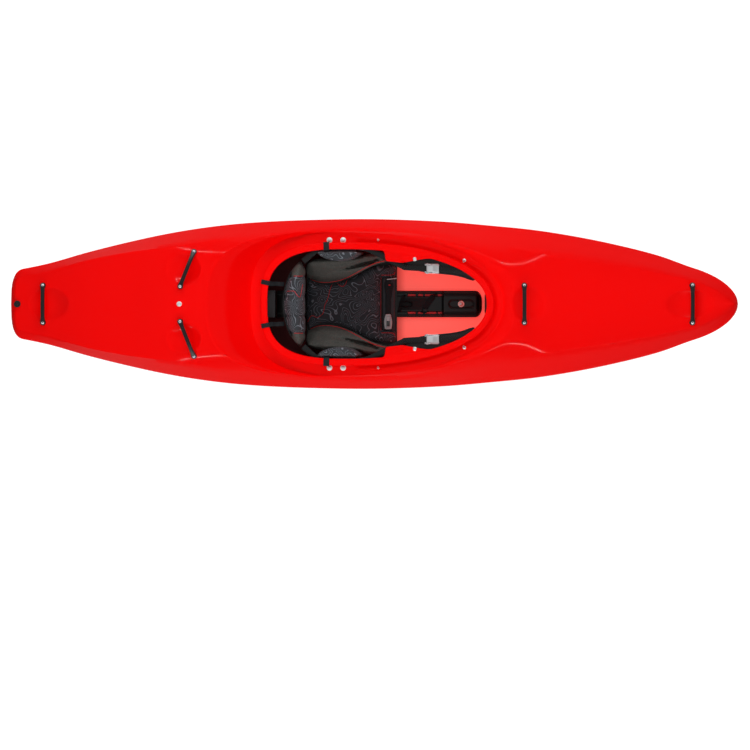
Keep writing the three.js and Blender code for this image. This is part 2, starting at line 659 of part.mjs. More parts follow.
// Handle: its bar and end screws, the hand recess under it
function handleParts(place) {
  const [x, y, turn] = [place.x * HALF_LENGTH, place.y * HALF_BEAM, place.turn];
  const lengthwise = vec(Math.sin(turn), Math.cos(turn), 0);
  const across = vec(Math.cos(turn), -Math.sin(turn), 0);
  const ends = [-1, 1].map((s) => {
    const p = vec(x, y, 0).addScaledVector(lengthwise, (s * HANDLE_SPAN) / 2);
    return p.setZ(deckHeight(p.x, p.y));
  });
  const overhang = HANDLE_WIDTH / 2;
  const points = handlePointShares.map((t) => {
    const p = ends[0].clone().lerp(ends[1], mix(-overhang, HANDLE_SPAN + overhang, t) / HANDLE_SPAN);
    return p.setZ(p.z + HANDLE_FOOT_LIFT + HANDLE_ARCH * Math.sin(Math.PI * t));
  });
  const section = roundedSection(HANDLE_WIDTH, HANDLE_THICKNESS, HANDLE_THICKNESS / 3);
  let handle = solid(bar(points, section, across));
  const holes = [];
  for (const end of ends) {
    const top = HANDLE_FOOT_LIFT + HANDLE_THICKNESS;
    const screw = [[0, -HANDLE_SCREW_DEPTH], [HANDLE_SCREW, -HANDLE_SCREW_DEPTH], [HANDLE_SCREW, top / 2]];
    const domeTop = top + HANDLE_HEAD / 3;
    screw.push([HANDLE_HEAD, top / 2], [HANDLE_HEAD, top], [HANDLE_HEAD / 2, domeTop], [0, domeTop]);
    handle = handle.add(solid(turned(screw, end, Z_AXIS)));
    holes.push(solid(turned(rod(HANDLE_SCREW + GAP, -OVERRUN, OVERRUN), end, Z_AXIS)));
  }
  const [bx, by] = [x + place.shift * HANDLE_SPAN, y];
  const step = HANDLE_WIDTH;
  const centre = vec(bx, by, deckHeight(bx, by));
  const alongDeck = vec(2 * step, 0, deckHeight(bx + step, by) - deckHeight(bx - step, by));
  const acrossDeck = vec(0, 2 * step, deckHeight(bx, by + step) - deckHeight(bx, by - step));
  const normal = alongDeck.cross(acrossDeck).normalize();
  const lean = new THREE.Quaternion().setFromUnitVectors(Z_AXIS, normal);
  const dish = (grow) =>
    solid(
      new THREE.SphereGeometry(1, 14, 6)
        .scale(place.reach[0] * HANDLE_SPAN + grow, place.reach[1] * HANDLE_SPAN + grow, BOWL_DEPTH + grow)
        .applyQuaternion(lean)
        .translate(centre.x, centre.y, centre.z),
    );
  return { handle, holes, dish };
}

let { shell, closed } = shellSolids();
for (const place of handleShares) {
  const { handle, holes, dish } = handleParts(place);
  shell = shell.subtract(dish(0)).add(dish(WALL).intersect(closed).subtract(dish(0)));
  for (const hole of holes) shell = shell.subtract(hole);
  add(place.name, handle, finishes.plastic);
}

// Drain plug with its seal, on the stern deck
const plugFoot = vec(PLUG_X, 0, deckHeight(PLUG_X, 0));
const plugProfile = [
  [0, -PLUG_LENGTH],
  [PLUG_SHANK, -PLUG_LENGTH],
  [PLUG_SHANK, SEAL_THICKNESS + 2 * GAP],
  [PLUG_HEAD, SEAL_THICKNESS + 2 * GAP],
  [PLUG_HEAD, SEAL_THICKNESS + PLUG_HEAD_HEIGHT],
  [0, SEAL_THICKNESS + PLUG_HEAD_HEIGHT],
];
const sealProfile = [
  [PLUG_SHANK + GAP, GAP],
  [PLUG_HEAD, GAP],
  [PLUG_HEAD, GAP + SEAL_THICKNESS],
  [PLUG_SHANK + GAP, GAP + SEAL_THICKNESS],
  [PLUG_SHANK + GAP, GAP],
];
add("drain_plug", solid(turned(plugProfile, plugFoot, Z_AXIS, 24)), finishes.plastic);
add("drain_plug_seal", solid(turned(sealProfile, plugFoot, Z_AXIS, 24)), finishes.rubber);
shell = shell.subtract(solid(turned(rod(PLUG_SHANK + GAP, -OVERRUN, OVERRUN), plugFoot, Z_AXIS, 24)));
shell = shell.subtract(solid(turned(rod(PLUG_HEAD + GAP, 0, OVERRUN), plugFoot, Z_AXIS, 24)));

// Centre tray with its nose
const trayFoot = floorAt(NOSE_FRONT, TRAY_HALF_WIDTH) + SKIN_CLEARANCE;
const trayDeck = trayFoot + TRAY_FLOOR;
const trayTop = trayFoot + TRAY_HEIGHT;
const noseTaperShare = 0.7;
function trayBody() {
  const taper = TRAY_HALF_WIDTH * noseTaperShare;
  const outline = pairedOutline([
    [TRAY_REAR, 0],
    [TRAY_REAR, TRAY_HALF_WIDTH],
    [NOSE_FRONT - taper / 2, TRAY_HALF_WIDTH],
    [NOSE_FRONT, taper],
    [NOSE_FRONT, 0],
  ]);
  const inner = TRAY_HALF_WIDTH - TRAY_SIDE;
  let tray = solid(slab(outline, trayFoot, trayTop));
  const channelLow = vec(TRAY_REAR - OVERRUN, -inner, trayDeck);
  tray = tray.subtract(solid(block(channelLow, vec(TRAY_FRONT, inner, trayTop + OVERRUN))));
  for (const side of [-1, 1]) {
    for (const [from, to] of traySlotShares.map((pair) => pair.map((share) => share * TRAY_FRONT))) {
      const y = side * (inner - TRAY_SLOT_WIDTH);
      const low = vec(from, y - TRAY_SLOT_WIDTH / 2, trayFoot - OVERRUN);
      tray = tray.subtract(solid(block(low, vec(to, y + TRAY_SLOT_WIDTH / 2, trayDeck + OVERRUN / 3))));
    }
  }
  const tailRear = TRAY_REAR - TRAY_TAIL;
  const tailLow = vec(tailRear, -TRAY_HALF_WIDTH, floorAt(tailRear, TRAY_HALF_WIDTH) + SKIN_CLEARANCE);
  tray = tray.add(solid(block(tailLow, vec(TRAY_REAR + TRAY_SIDE, TRAY_HALF_WIDTH, trayTop))));
  const [length, width, depth] = [NOSE_RECESS_LENGTH, NOSE_RECESS_WIDTH, NOSE_RECESS_DEPTH];
  const low = vec(NOSE_BOLT_X - length / 2, -width / 2, trayTop - depth);
  tray = tray.subtract(solid(block(low, vec(NOSE_BOLT_X + length / 2, width / 2, trayTop + OVERRUN))));
  for (const x of trayFootShares.map((share) => -share * TRAY_REAR)) {
    const low = vec(x, -TRAY_HALF_WIDTH, floorAt(x, TRAY_HALF_WIDTH) + GAP);
    tray = tray.add(solid(block(low, vec(x + TRAY_HALF_WIDTH, TRAY_HALF_WIDTH, trayFoot + GAP))));
  }
  const foot = vec(NOSE_BOLT_X, 0, trayTop - depth);
  return tray.subtract(solid(turned(rod(BOLT_SHANK + GAP, -TRAY_HEIGHT, OVERRUN), foot, Z_AXIS)));
}
add("centre_tray", trayBody(), finishes.plastic);
const noseBoltFoot = vec(NOSE_BOLT_X, 0, trayTop - NOSE_RECESS_DEPTH);
const noseBoltProfile = boltProfile(BOLT_HEAD, TRAY_HEIGHT / 2, PILLAR_BOLT_HEAD);
add("tray_bolt", solid(turned(noseBoltProfile, noseBoltFoot, Z_AXIS)), finishes.steel);

// Foam pillars between floor and deck
function pillar({ rear, front, halfWidth, steps }) {
  const rings = Array.from({ length: steps + 1 }, (_, k) => {
    const x = mix(rear, front, k / steps);
    const low = floorAt(x, halfWidth) + SKIN_CLEARANCE + GAP;
    const near = [-1, 0, 1].flatMap((k) => [0, halfWidth].map((y) => ceilingAt(x + k * CEILING_SPREAD, y)));
    const high = Math.min(...near) - CEILING_CLEARANCE;
    return [[-1, low], [1, low], [1, high], [-1, high]].map(([s, z]) => vec(x, s * halfWidth, z));
  });
  return solid(loft(rings));
}
add("front_pillar", pillar(FRONT_PILLAR), finishes.foam);
const rearBoltFoot = vec(REAR_BOLT_X, 0, deckHeight(REAR_BOLT_X, 0));
const rearBoltHole = solid(turned(rod(BOLT_SHANK + GAP, -OVERRUN, OVERRUN), rearBoltFoot, Z_AXIS));
add("rear_pillar", pillar(REAR_PILLAR).subtract(rearBoltHole), finishes.foam);
const rearBoltSeat = solid(turned(rod(WASHER + GAP, 0, OVERRUN), rearBoltFoot, Z_AXIS));
const rearBolt = turned(boltProfile(BOLT_HEAD, OVERRUN / 2, WASHER), rearBoltFoot, Z_AXIS);
add("rear_deck_bolt", solid(rearBolt), finishes.steel);
shell = shell.subtract(rearBoltHole).subtract(rearBoltSeat);

// Seat: pan with its tongue between the tray's sides
const panFoot = trayTop + GAP;
const panTop = panFoot + PAN_THICKNESS;
const seatTop = panTop + CUSHION_HEIGHT;
function seatPan() {
  const tongueHalf = TRAY_HALF_WIDTH - TRAY_SIDE - TONGUE_CLEARANCE;
  const tongueLow = vec(SEAT_REAR + OVERRUN, -tongueHalf, panFoot - TONGUE_DROP);
  const tongue = block(tongueLow, vec(0, tongueHalf, panFoot + GAP));
  const outline = pairedOutline(outlineOf(panShares, SEAT_REAR, SEAT_LENGTH, SEAT_HALF_WIDTH));
  return solid(slab(outline, panFoot, panTop)).add(solid(tongue));
}
add("seat_pan", seatPan(), finishes.plastic);

// The lifter turns about its top rear edge, in a notch in the cushion
const lifterTop = seatTop - LIFTER_TOP_DROP;
const lifterFoot = lifterTop - LIFTER_THICKNESS;
function seatCushion() {
  const outline = pairedOutline(outlineOf(cushionShares, SEAT_REAR, SEAT_LENGTH, SEAT_HALF_WIDTH));
  const cushion = solid(pad(outline, panTop + GAP, () => seatTop));
  const low = vec(LIFTER_REAR - GAP, -LIFTER_HALF_WIDTH - GAP, lifterFoot - GAP);
  const high = vec(SEAT_FRONT + OVERRUN, LIFTER_HALF_WIDTH + GAP, seatTop + OVERRUN);
  return cushion.subtract(solid(block(low, high)));
}
add("seat_cushion", seatCushion(), finishes.fabric);
const lifterHalf = [
  [LIFTER_REAR, 0],
  [LIFTER_REAR, LIFTER_HALF_WIDTH],
  [LIFTER_FRONT, LIFTER_HALF_WIDTH - STRAP_THICKNESS],
  [LIFTER_FRONT, 0],
];
add("leg_lifter", solid(slab(pairedOutline(lifterHalf), lifterFoot, lifterTop)), finishes.plastic);
const strapTop = lifterTop + GAP + STRAP_THICKNESS;
const strapHalf = LIFTER_HALF_WIDTH - LIFTER_STRAP_INSET;
const strapLow = vec(LIFTER_STRAP[0], -strapHalf, lifterTop + GAP);
add("lifter_strap", solid(block(strapLow, vec(LIFTER_STRAP[1], strapHalf, strapTop))), finishes.webbing);
const buckleFoot = strapTop + GAP;
const buckleTop = buckleFoot + BUCKLE.height;
function buckleFrame() {
  const [x0, x1] = BUCKLE.x;
  const [y0, y1] = BUCKLE.y;
  const cut = BUCKLE.rail;
  const outline = [
    [x0, y0 + cut], [x0 + cut, y0], [x1 - cut, y0], [x1, y0 + cut],
    [x1, y1 - cut], [x1 - cut, y1], [x0 + cut, y1], [x0, y1 - cut],
  ];
  const windowLow = vec(x0 + cut, y0 + cut, buckleFoot - OVERRUN);
  const window = block(windowLow, vec(x1 - cut, y1 - cut, buckleTop + OVERRUN));
  return solid(slab(outline, buckleFoot, buckleTop)).subtract(solid(window));
}
add("lifter_buckle", buckleFrame(), finishes.steel);
const leverInset = BUCKLE.rail + 2 * GAP;
const leverLow = vec(BUCKLE.x[0] + leverInset, BUCKLE.y[0] + leverInset, buckleFoot + 2 * GAP);
const leverHigh = vec(BUCKLE.x[1] - leverInset, BUCKLE.y[1] - leverInset, buckleTop);
add("lifter_buckle_lever", solid(block(leverLow, leverHigh)), finishes.steel);

// Hip pads, highest along their outer edge, sloping in to the cushion and down to the front
const hipSlopeShare = 1.8;
function hipPadTop(x, y) {
  const start = TRAY_HALF_WIDTH * hipSlopeShare;
  const outward = clamp01((y - start) / (HIP_SLAB.y[0] - start));
  const forward = clamp01((x - HIP_SLAB.x[1]) / (SEAT_FRONT - HIP_SLAB.x[1]));
  const rise = mix(HIP_INNER_RISE, HIP_OUTER_RISE, ease(outward));
  return panTop + rise * mix(1, HIP_FRONT_SHARE, ease(forward));
}
for (const side of [1, -1]) {
  const outline = outlineOf(hipPadShares, SEAT_REAR, SEAT_LENGTH, SEAT_HALF_WIDTH);
  add(`hip_pad_${sideName(side)}`, solid(toSide(pad(outline, panTop + GAP, hipPadTop), side)), finishes.mesh);
}

// Pieces hung from the rim
function rimBolt(name, [x, y], top, length, washer, side) {
  const foot = vec(x, side * y, top);
  const bolt = turned(boltProfile(BOLT_HEAD, length, washer), foot, Z_AXIS);
  add(name, solid(inRim(bolt)), finishes.steel);
  return foot;
}
const rimHole = (foot, slotLength = 0) => {
  const radius = BOLT_SHANK + GAP;
  let hole = solid(inRim(turned(rod(radius, -3 * OVERRUN, OVERRUN), foot, Z_AXIS)));
  if (slotLength > 0) {
    const low = vec(foot.x - slotLength, foot.y - radius, foot.z - 3 * OVERRUN);
    hole = hole.add(solid(inRim(block(low, vec(foot.x + slotLength, foot.y + radius, foot.z + OVERRUN)))));
  }
  return hole;
};

for (const side of [1, -1]) {
  const name = sideName(side);
  const { x, y, foot, top } = HIP_SLAB;
  const face = hipFaceShares.map(([u, v]) => [mix(x[0], x[1], u), mix(foot, top, v)]);
  const upright = slab(face, -y[1], -y[0]).rotateX(Math.PI / 2);
  const flangeLow = vec(HIP_FLANGE.x[0], mix(y[0], y[1], 1 / 2), HIP_FLANGE.top - HIP_FLANGE.thickness);
  const flange = block(flangeLow, vec(HIP_FLANGE.x[1], HIP_FLANGE.y, HIP_FLANGE.top));
  let plate = solid(inRim(toSide(upright, side))).add(solid(inRim(toSide(flange, side))));
  for (const [, share] of hipBoltShares) {
    const at = vec(share * RIM_REAR, side * RIM_BOLT_Y, -RIM_RISE);
    plate = plate.add(solid(inRim(turned(boltProfile(BOLT_HEAD, RIM_RISE / 2, WASHER), at, Z_AXIS))));
    shell = shell.subtract(rimHole(at));
  }
  add(`hip_plate_${name}`, plate, finishes.fabric);
}

// Thigh brace with its pad, bolts and ratchet; the slot bolt moves with the brace
const braceTop = -BRACE_DROP;
const braceFoot = braceTop - BRACE_THICKNESS;
// The raised oval on the rim's grip, flat on top, that the slot bolt slides on
function withSlotOval(body, { x, y, z }) {
  const half = SLOT_OVAL_LENGTH / 2 - SLOT_OVAL_HALF_WIDTH;
  const ends = [x - half, x + half];
  const upright = (low, high) => {
    const caps = ends.map((endX) => solid(inRim(turned(rod(SLOT_OVAL_HALF_WIDTH, low, high), vec(endX, y, z), Z_AXIS))));
    const middleLow = vec(ends[0], y - SLOT_OVAL_HALF_WIDTH, z + low);
    const middle = block(middleLow, vec(ends[1], y + SLOT_OVAL_HALF_WIDTH, z + high));
    return caps[0].add(caps[1]).add(solid(inRim(middle)));
  };
  return body.subtract(upright(0, OVERRUN)).add(upright(-LIP_THICKNESS, 0));
}
for (const side of [1, -1]) {
  const name = sideName(side);
  const outline = outlineOf(braceShares, BRACE_REAR, BRACE_LENGTH, BRACE_OUT);
  let brace = solid(inRim(toSide(slab(outline, braceFoot, braceTop), side)));
  const through = BRACE_DROP + BRACE_THICKNESS + 2 * GAP;
  const deckBolt = (bolt, place) => rimBolt(`${bolt}_${name}`, place, -RIM_RISE, through - RIM_RISE, BOLT_HEAD, side);
  const inRimPlace = ([x, y]) => [x * RIM_FRONT, y * RIM_SIDE];
  const flangeBolt = deckBolt("flange_bolt", [FLANGE_BOLT_X, RIM_BOLT_Y]);
  const frontBolt = deckBolt("front_bolt", inRimPlace(frontBoltShares));
  const slotPlace = inRimPlace(slotBoltShares);
  const slotBolt = rimBolt(`slot_bolt_${name}`, slotPlace, -GRIP_TOP_DROP, through - GRIP_TOP_DROP, BOLT_HEAD, side);
  shell = withSlotOval(shell, slotBolt);
  const slotReach = BRACE_TRAVEL + BOLT_SHANK;
  shell = shell.subtract(rimHole(flangeBolt)).subtract(rimHole(frontBolt)).subtract(rimHole(slotBolt, slotReach));
  brace = brace.subtract(rimHole(slotBolt)).subtract(rimHole(flangeBolt, slotReach));
  brace = brace.subtract(rimHole(frontBolt, slotReach));
  add(`thigh_brace_${name}`, brace, finishes.plastic);
  const padOutline = outline.slice(2, 9).map(([px, py]) => [px, py + THIGH_PAD_THICKNESS / 2]);
  const padTop = braceFoot - GAP;
  let foam = solid(inRim(toSide(slab(padOutline, padTop - THIGH_PAD_THICKNESS, padTop), side)));
  foam = foam.subtract(rimHole(slotBolt)).subtract(rimHole(frontBolt, slotReach));
  add(`thigh_pad_${name}`, foam, finishes.foam);
}

// Ladder straps, ratchets round them
const ladderRoute = outlineOf(ladderShares, LADDER.rear, LADDER.front - LADDER.rear, BRACE_OUT);
function ladderLine(grow) {
  const points = ladderRoute.map(([x, y]) => vec(x, y, -LADDER.drop));
  const section = roundedSection(LADDER.width + 2 * grow, LADDER.thickness + 2 * grow, LADDER.thickness / 4);
  return bar(points, section, Y_AXIS);
}
function ladderY(x) {
  const next = ladderRoute.findIndex(([at]) => at > x);
  const [[x0, y0], [x1, y1]] = [ladderRoute[next - 1], ladderRoute[next]];
  return mix(y0, y1, (x - x0) / (x1 - x0));
}
for (const side of [1, -1]) {
  const name = sideName(side);
  add(`ladder_strap_${name}`, solid(inRim(toSide(ladderLine(0), side))), finishes.webbing);
  const middle = ladderY((RATCHET.x[0] + RATCHET.x[1]) / 2);
  const foot = braceTop + GAP;
  const low = middle - RATCHET.half;
  const high = middle + RATCHET.half;
  const plate = block(vec(RATCHET.x[0], low, foot), vec(RATCHET.x[1], high, foot + RATCHET.plate));
  const cheekFront = RATCHET.x[0] + RATCHET.height * 2;
  const cheekTop = foot + RATCHET.height;
  const cheek = (y) => block(vec(RATCHET.x[0], y, foot), vec(cheekFront, y + RATCHET.cheek, cheekTop));
  let base = solid(inRim(toSide(plate, side))).add(solid(inRim(toSide(cheek(low), side))));
  base = base.add(solid(inRim(toSide(cheek(high - RATCHET.cheek), side))));
  add(`ratchet_base_${name}`, base, finishes.steel);
  const leverLow = low + RATCHET.cheek + 2 * GAP;
  const leverHigh = high - RATCHET.cheek - 2 * GAP;
  const leverFoot = foot + RATCHET.height - RATCHET.plate;
  const leverTop = leverFoot + RATCHET.plate;
  const lever = block(vec(RATCHET.pivot, leverLow, leverFoot), vec(RATCHET.x[1], leverHigh, leverTop));
  const pin = new THREE.CylinderGeometry(RATCHET.plate, RATCHET.plate, leverHigh - leverLow, BOLT_SIDES)
    .translate(RATCHET.pivot, (leverLow + leverHigh) / 2, leverFoot + RATCHET.plate / 2);
  const leverBody = solid(inRim(toSide(lever, side))).add(solid(inRim(toSide(pin, side))));
  add(`ratchet_lever_${name}`, leverBody, finishes.steel);
}

// Backband: a padded band swept forward at its wings, on a stiff plate
const bandPlateShare = 0.75;
const bandShare = (y) => (y / BAND_HALF_WIDTH) ** 2;
// Section of the band: share from its rear to its front, share of its height, share of the crown
const bandRingShares = [
  [0.3, 0, 0], [0.8, 0, 0], [1, 0.12, 0], [1, 0.5, 1], [1, 0.88, 0],
  [0.75, 1, 0], [0.25, 1, 0], [0, 0.88, 0], [0, 0.5, 0], [0, 0.12, 0],
];
function bandRing(y, frontX, rearX, foot, top) {
  return bandRingShares.map(([forward, up, crown]) =>
    vec(mix(rearX, frontX, forward) + BAND_CROWN * crown, y, mix(foot, top, up)),
  );
}
const BAND_LOBES = 3;
const BAND_STEPS = 18;
const PLATE_STEPS = 8;
function backbandPad() {
  const rings = Array.from({ length: BAND_STEPS + 1 }, (_, k) => {
    const y = mix(-BAND_HALF_WIDTH, BAND_HALF_WIDTH, k / BAND_STEPS);
    const lobe = Math.abs(Math.sin((BAND_LOBES * Math.PI * k) / BAND_STEPS));
    const drop = BAND_WING_DROP * bandShare(y);
    const rear = BAND_REAR + BAND_SWEEP * bandShare(y);
    const thin = (1 - lobe) * BAND_PINCH;
    const front = BAND_FRONT + BAND_WING_REACH * bandShare(y);
    return bandRing(y, front - thin, rear + thin, BAND_FOOT + drop / 2, BAND_TOP - drop - thin);
  });
  let band = solid(loft(rings));
  for (const side of [1, -1]) band = band.subtract(solid(inRim(toSide(ladderLine(GAP), side))));
  return band;
}
add("backband_pad", backbandPad(), finishes.fabric);
function backbandPlate() {
  const half = BAND_HALF_WIDTH * bandPlateShare;
  const rings = Array.from({ length: PLATE_STEPS + 1 }, (_, k) => {
    const y = mix(-half, half, k / PLATE_STEPS);
    const front = BAND_REAR + BAND_SWEEP * bandShare(y) - 3 * GAP;
    const rear = front - BAND_PLATE_THICKNESS;
    const top = BAND_TOP - BAND_WING_DROP;
    const foot = BAND_FOOT + BAND_WING_DROP;
    return [[rear, foot], [front, foot], [front, top], [rear, top]].map(([x, z]) => vec(x, y, z));
  });
  return solid(loft(rings));
}
add("backband_plate", backbandPlate(), finishes.plastic);

// Webbing over the rim: rear straps with their rings' tails, side straps down to the hip plates
function rimStrap({ x, y, width, tail }, side) {
  const [lipX, lipY] = onOval(oval(0), x, side * y);
  const [nextX, nextY] = onOval(oval(0), x + width / 2, side * y);
  const tangent = vec(nextX - lipX, nextY - lipY, 0).normalize();
  const inward = vec(side * tangent.y, -side * tangent.x, 0);
  const at = (depth, drop) => {
    const p = vec(lipX, lipY, 0).addScaledVector(inward, depth);
    return p.setZ(rimHeight(p.x) - drop);
  };
  const out = STRAP_THICKNESS / 2 + 3 * GAP;
  const points = [
    at(LIP_OVERHANG / 2, LIP_THICKNESS + out),
    at(-out, LIP_THICKNESS + out),
    at(-out, -out),
    at(RIM_WIDTH / 2, -out),
    at(RIM_WIDTH + 2 * out, -out),
    at(RIM_WIDTH + 2 * out, LIP_THICKNESS + tail / 3),
    at(RIM_WIDTH + 2 * out + tail, LIP_THICKNESS + tail),
  ];
  const across = tangent.setZ(tangent.x * Math.tan(RIM_TILT)).normalize();
  return solid(bar(points, roundedSection(width, STRAP_THICKNESS, STRAP_THICKNESS / 4), across));
}
const REAR_STRAP = { x: -405, y: 80, width: 17, tail: 14 };
const SIDE_STRAP = { x: -175, y: 227, width: 22, tail: 1 };
for (const side of [1, -1]) {
  add(`rear_rim_strap_${sideName(side)}`, rimStrap(REAR_STRAP, side), finishes.webbing);
  add(`side_rim_strap_${sideName(side)}`, rimStrap(SIDE_STRAP, side), finishes.webbing);
}

// Footrest
function hullSideAt(x, z) {
  const points = sideSection(x, 3, 0);
  let i = 0;
  while (points[i + 1].z < z) i += 1;
  const t = (z - points[i].z) / (points[i + 1].z - points[i].z);
  return mix(points[i].y, points[i + 1].y, t);
}
// The rails stand off the hull's side where it is narrowest along them
const railFront = RAIL_REAR + RAIL_LENGTH;
const RAIL_Y = Math.min(hullSideAt(RAIL_REAR, RAIL_Z), hullSideAt(railFront, RAIL_Z)) - RAIL_STAND_OFF;
for (const side of [1, -1]) {
  const name = sideName(side);
  const railLow = vec(RAIL_REAR, RAIL_Y, RAIL_Z - RAIL_HEIGHT / 2);
  let rail = solid(toSide(block(railLow, vec(railFront, RAIL_Y + RAIL_THICKNESS, RAIL_Z + RAIL_HEIGHT / 2)), side));
  for (const share of hullBoltShares) {
    const x = RAIL_REAR + RAIL_LENGTH * share;
    const foot = vec(x, side * hullSideAt(x, RAIL_Z), RAIL_Z);
    const axis = vec(0, side, 0);
    const reach = Math.abs(foot.y) - RAIL_Y;
    const bore = solid(turned(rod(BOLT_SHANK + GAP, -reach - OVERRUN, OVERRUN), foot, axis));
    const spot = solid(turned(rod(BOLT_HEAD + GAP, 0, OVERRUN), foot, axis));
    shell = shell.subtract(bore).subtract(spot);
    rail = rail.add(solid(turned(rod(KNOB / 2, -reach, -3 * WALL), foot, axis)));
    rail = rail.add(solid(turned(boltProfile(BOLT_HEAD, reach, BOLT_HEAD), foot, axis)));
  }
  add(`footrest_rail_${name}`, rail, finishes.plastic);
}

function bulkheadPlate() {
  const half = BULKHEAD_HALF_WIDTH;
  const cut = half / 5;
  const arm = RAIL_HEIGHT / 2;
  const reach = RAIL_Y - GAP;
  const outline = [
    [-half + cut, BULKHEAD_FOOT], [half - cut, BULKHEAD_FOOT], [half, BULKHEAD_FOOT + cut],
    [half, RAIL_Z - arm], [reach, RAIL_Z - arm], [reach, RAIL_Z + arm], [half, RAIL_Z + arm],
    [half, BULKHEAD_TOP - 2 * cut], [half - cut, BULKHEAD_TOP], [cut - half, BULKHEAD_TOP],
    [-half, BULKHEAD_TOP - 2 * cut], [-half, RAIL_Z + arm], [-reach, RAIL_Z + arm],
    [-reach, RAIL_Z - arm], [-half, RAIL_Z - arm],
    [-half, BULKHEAD_FOOT + cut],
  ];
  return slab(outline, 0, BULKHEAD_THICKNESS).rotateX(Math.PI / 2).rotateZ(Math.PI / 2).translate(BULKHEAD_X, 0, 0);
}
add("bulkhead_plate", solid(bulkheadPlate()), finishes.plastic);
const foamHalf = BULKHEAD_HALF_WIDTH - KNOB / 2;
const foamLow = vec(BULKHEAD_X - GAP - BULKHEAD_FOAM, -foamHalf, BULKHEAD_FOOT + KNOB);
const foamHigh = vec(BULKHEAD_X - GAP, foamHalf, BULKHEAD_TOP - 2 * KNOB);
add("bulkhead_foam", solid(block(foamLow, foamHigh)), finishes.foam);
for (const side of [1, -1]) {
  const foot = vec(BULKHEAD_X + BULKHEAD_THICKNESS + GAP, side * (RAIL_Y - KNOB - KNOB / 2), RAIL_Z);
  const profile = [[0, 0], [KNOB / 2, 0], [KNOB / 2, KNOB / 2], [KNOB, KNOB / 2], [KNOB, KNOB_LENGTH], [0, KNOB_LENGTH]];
  const star = turned(profile, foot, X_AXIS, KNOB_LOBES);
  add(`bulkhead_knob_${sideName(side)}`, solid(star), finishes.plastic);
}

// The one moulding is parted into lengths of hull and deck, each simple enough to be solid on its own
function beyond(body, point, normal) {
  const reach = 2 * LENGTH;
  const turn = new THREE.Quaternion().setFromUnitVectors(X_AXIS, normal.clone().normalize());
  const half = new THREE.BoxGeometry(reach, reach, reach).translate((reach + GAP) / 2, 0, 0).applyQuaternion(turn);
  return body.intersect(solid(half.translate(point.x, point.y, point.z)));
}
function parted(body, point, normal) {
  return [beyond(body, point, normal), beyond(body, point, normal.clone().negate())];
}
const seamHeight = (x) => DEPTH * along(gunwaleHeightShares, x);
function hullAndDeck(body, fromX, toX) {
  const slope = vec(seamHeight(fromX) - seamHeight(toX), 0, toX - fromX);
  return parted(body, vec(fromX, 0, seamHeight(fromX)), slope);
}
const [foreAndMiddle, stern] = parted(shell, vec(STERN_SEAM, 0, 0), X_AXIS);
const [bow, middle] = parted(foreAndMiddle, vec(BOW_SEAM, 0, 0), X_AXIS);
const [sternDeck, sternHull] = hullAndDeck(stern, -HALF_LENGTH, STERN_SEAM);
const [bowDeck, bowHull] = hullAndDeck(bow, BOW_SEAM, HALF_LENGTH);
const [cockpitDeck, middleHull] = parted(middle, vec(0, 0, seamHeight(0)), Z_AXIS);
const shellParts = {
  stern_hull: sternHull,
  middle_hull: middleHull,
  bow_hull: bowHull,
  stern_deck: sternDeck,
  bow_deck: bowDeck,
};
parted(cockpitDeck, vec(COCKPIT_SEAM, 0, 0), X_AXIS).forEach((length, k) => {
  parted(length, vec(0, 0, 0), Y_AXIS).forEach((quarter, side) => {
    shellParts[`cockpit_deck_${k === 0 ? "front" : "rear"}_${side === 0 ? "port" : "starboard"}`] = quarter;
  });
});
for (const [name, part] of Object.entries(shellParts)) add(name, part, finishes.shell);

export default kayak;
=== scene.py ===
"""Whitewater kayak: the finished look of the boat, its fittings and its cockpit outfitting.

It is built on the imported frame.

Lengths in the shape functions are millimetres; make_piece turns them to metres.
+X is to the bow, +Y to port, +Z up, and the origin is under the middle of the boat.
"""
import math

import bmesh
import bpy
import numpy as np
from bpy.props import FloatProperty, FloatVectorProperty, PointerProperty
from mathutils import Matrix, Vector
from mathutils.bvhtree import BVHTree


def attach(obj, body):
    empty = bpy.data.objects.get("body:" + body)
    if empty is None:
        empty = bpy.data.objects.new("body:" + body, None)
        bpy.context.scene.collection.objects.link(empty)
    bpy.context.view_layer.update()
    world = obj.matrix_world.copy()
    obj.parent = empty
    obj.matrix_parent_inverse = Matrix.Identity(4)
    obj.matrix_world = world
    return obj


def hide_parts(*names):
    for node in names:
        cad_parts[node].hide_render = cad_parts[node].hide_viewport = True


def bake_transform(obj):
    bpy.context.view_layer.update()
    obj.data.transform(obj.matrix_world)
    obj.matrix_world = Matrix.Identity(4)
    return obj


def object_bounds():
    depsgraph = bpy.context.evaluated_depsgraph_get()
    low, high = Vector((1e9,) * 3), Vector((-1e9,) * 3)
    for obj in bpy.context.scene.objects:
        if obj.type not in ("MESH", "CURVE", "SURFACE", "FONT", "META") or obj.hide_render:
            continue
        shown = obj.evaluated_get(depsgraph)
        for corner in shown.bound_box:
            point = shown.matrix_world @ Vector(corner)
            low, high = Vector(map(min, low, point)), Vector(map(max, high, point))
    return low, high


bl_info = {
    "name": "Whitewater Kayak",
    "version": (1, 0, 0),
    "blender": (4, 5, 0),
    "location": "View3D > Sidebar > Kayak",
    "description": "Builds a plastic whitewater kayak with its cockpit outfitting",
    "category": "Add Mesh",
}

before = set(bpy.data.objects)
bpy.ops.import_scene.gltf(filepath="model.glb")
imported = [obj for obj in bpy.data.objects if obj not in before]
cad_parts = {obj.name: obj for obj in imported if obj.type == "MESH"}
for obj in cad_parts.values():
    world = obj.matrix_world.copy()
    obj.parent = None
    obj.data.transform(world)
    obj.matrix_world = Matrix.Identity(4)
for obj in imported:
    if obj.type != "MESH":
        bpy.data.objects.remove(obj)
CAD_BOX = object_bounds()
MM = 0.001
SIDES = ((1, "port"), (-1, "starboard"))

